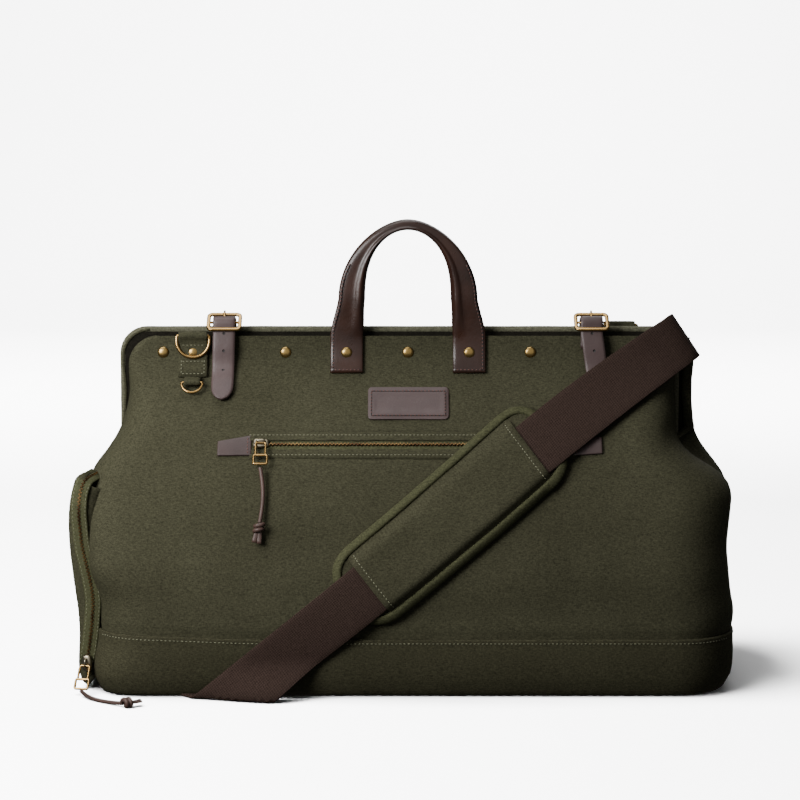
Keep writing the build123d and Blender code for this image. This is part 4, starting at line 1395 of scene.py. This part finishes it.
def sleeve_lift(u, v, edge):
    """How far the sleeve stands off the front: over the webbing, and down to the pad beside it."""
    ends = ease((SLEEVE_HALF - abs(u)) / 3)
    sides = ease((29.5 - abs(v)) / 8)
    webbing_under = 1 - 0.12 * ease((abs(v) - 18) / 6)
    crease = 0.8 * noise.noise(Vector((u * 0.03, v * 0.05, 3)))
    return 5.8 + 7.0 * sides * webbing_under + 0.9 * ends + crease


def pad_binding():
    """The cloth binding round the pad's edge, tilted up towards the pad's middle."""
    length, width = PAD_SIZE
    ring = []
    for w in spread(0, 1, 161)[:-1]:
        ring.append(on_pad(*pad_edge(w, length / 2 - 4.2, width / 2 - 4.2, 18), 4.9))
    frames = []
    middle = Vector(on_pad(0, 0, 26.0))
    for origin, side, up in frames_along(ring, (0, -1, 0.4), closed=True):
        tilt = 0.30 if side.dot(middle - origin) > 0 else -0.30
        frames.append((origin, (side + up * tilt).normalized(), (up - side * tilt).normalized()))
    return sweep("pad_binding", frames, [oval(4.4, 2.7, 2.6, 16)] * len(frames), BINDING, closed=True)


def pad():
    """The bound pad under the strap and the raised canvas sleeve that the strap runs through."""
    length, width = PAD_SIZE
    base = patch("pad_base", CANVAS, PAD_CENTRE, length - 4, width - 4, 20, pad_lift, 4.0, PAD_ANGLE,
                 rows=41, columns=81)
    binding = pad_binding()
    sleeve = patch("pad_sleeve", CANVAS, PAD_CENTRE, 2 * SLEEVE_HALF, 58.6, 2, sleeve_lift, 1.6, PAD_ANGLE,
                   rows=33, columns=71)
    seams = []
    for u in (-SLEEVE_HALF + 5.2, SLEEVE_HALF - 5.2):
        line = [on_pad(u, v, sleeve_lift(u, v, 5) + 0.15) for v in spread(-26.5, 26.5, 15)]
        seams.append(stitches("sleeve_seam", line, (0, -0.8, 0.5), STITCH_GREEN, gap=1.4, radius=0.4))
    padded = join("shoulder_pad", [base, binding, sleeve] + seams)
    place(padded, "shoulder_pad", "canvas", "shoulder_pad")


def pad_edge(w, half_u, half_v, radius):
    """A point round a rounded rectangle, at share w of the way."""
    path = wire_loop(lambda u, v: (u, v, 0), half_u, -half_v, half_v, radius * 1.5, 10)
    path.append(path[0])
    lengths = [(b - a).length for a, b in zip(path, path[1:])]
    left = w * sum(lengths)
    for (a, b), run in zip(zip(path, path[1:]), lengths):
        if left <= run:
            p = a.lerp(b, left / run)
            return p.x, p.y
        left -= run
    return path[0].x, path[0].y


# ---------------------------------------------------------------- CAD nodes that stay
KEPT = {"front_frame": STEEL, "back_frame": STEEL, "pivot_rivets": RIVET_BRASS, "base_board": BOARD,
        "front_pocket_pouch": LINING, "upper_hook": BRASS, "upper_hook_gate": BRASS,
        "lower_hook": BRASS, "lower_hook_gate": BRASS}


def kept_nodes():
    """Gives the CAD nodes that stay their materials and smooth shading between sharp edges."""
    for name, material in KEPT.items():
        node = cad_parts[name]
        node.data.materials.clear()
        node.data.materials.append(material)
        weld = node.modifiers.new("weld", "WELD")
        weld.merge_threshold = 0.01 * MM
        node.data.shade_smooth()
        split = node.modifiers.new("split", "EDGE_SPLIT")
        split.split_angle = radians(35)


def body_seams():
    """The row of stitches below the band's top edge."""
    row = ring_row(BAND_TOP - 3.0, -1.75)[3:104]
    path = [(x, y, z + band_top(x) - BAND_TOP) for x, y, z in row]
    place(stitches("band_seam", path, (0, -1, 0.1), STITCH_GREEN, gap=1.5, radius=0.34), "root", "canvas")


# ---------------------------------------------------------------- stage
# the photograph's camera: its place (metres), how far it looks down (degrees), its lens (mm)
EYE = (-0.0068, -2.2, 0.5)
LOOKING_DOWN = 6.89
LENS = 115.6


def camera():
    data = bpy.data.cameras.new("camera")
    data.lens = LENS
    data.sensor_width = 36
    data.clip_end = 50
    eye = bpy.data.objects.new("camera", data)
    eye.location = EYE
    eye.rotation_euler = (radians(90 - LOOKING_DOWN), 0, 0)
    bpy.context.scene.collection.objects.link(eye)
    bpy.context.scene.camera = eye


def light(name, energy, location, target, size, receivers=None):
    """A square soft light; receivers, when given, are the only things that it falls on."""
    data = bpy.data.lights.new(name, "AREA")
    data.energy = energy
    data.size = size
    lamp = bpy.data.objects.new(name, data)
    lamp.location = location
    lamp.rotation_euler = (Vector(target) - Vector(location)).to_track_quat("-Z", "Y").to_euler()
    bpy.context.scene.collection.objects.link(lamp)
    if receivers:
        lamp.light_linking.receiver_collection = receivers
    return lamp


def stage():
    """A pale sweep of paper lit from above, and soft light on the bag from the upper left."""
    rise = [(3.2 + 1.6 * sin(a), 1.6 - 1.6 * cos(a)) for a in spread(0, pi / 2, 12)]
    rows = []
    for y, z in [(-6, 0)] + rise + [(4.8, 6)]:
        rows.append([(x / MM, y / MM, z / MM) for x in (-6, 6)])
    s = Shader("stage_paper", 0.9)
    s.colour(s.ramp(s.noise(3, 2), (0.4, (0.885, 0.885, 0.885)), (0.6, (0.895, 0.895, 0.895))))
    paper = grid("floor", rows, s.material)
    paper.visible_diffuse = False
    paper.visible_glossy = False
    backdrop = bpy.data.collections.new("backdrop")
    backdrop.objects.link(paper)
    world = bpy.data.worlds.new("studio")
    world.use_nodes = True
    world.node_tree.nodes["Background"].inputs[0].default_value = (0.97, 0.98, 1.0, 1)
    world.node_tree.nodes["Background"].inputs[1].default_value = 0.10
    bpy.context.scene.world = world
    light("paper_top", 900, (-1.3, -0.2, 2.6), (-0.1, 0.0, 0), 1.8, backdrop)
    light("paper_wall", 900, (0, 2.0, 2.4), (0, 4.6, 1.2), 3.0, backdrop)
    light("key", 16, (-0.72, -0.78, 0.64), (-0.05, 0, 0.12), 0.55)
    gleam = light("gleam", 30, (0.3, -2.6, 1.6), (0, 0, 0.2), 4.0)
    gleam.visible_diffuse = False
    light("behind", 11, (0.5, 1.5, 1.1), (0, 0, 0.15), 1.3)
    light("top", 29, (-0.4, 0.0, 2.2), (0, 0, 0.2), 1.6)


# ---------------------------------------------------------------- putting it together
camera()
zip_hardware()
shell()
base_band()
lining()
top_rolls()
body_seams()
end_pocket()
end_pocket_zip()
label()
zip_tabs()
front_zip()
rivets()
handle(-1, "front_handle")
handle(1, "back_handle")
rings()
for tab_name, tab_side, tab_bar_z, _, tab_base in RINGS:
    ring_tab(tab_name, tab_side, tab_bar_z, tab_base)
for strap_x, strap_name, strap_slant in ((-BILLET_X, "left", -0.02), (BILLET_X, "right", 0.14)):
    billet(strap_x, strap_name, strap_slant)
    buckle(strap_x, strap_name)
chapes()
strap_front()
strap_slack()
strap_tail()
pad()
kept_nodes()
stage()
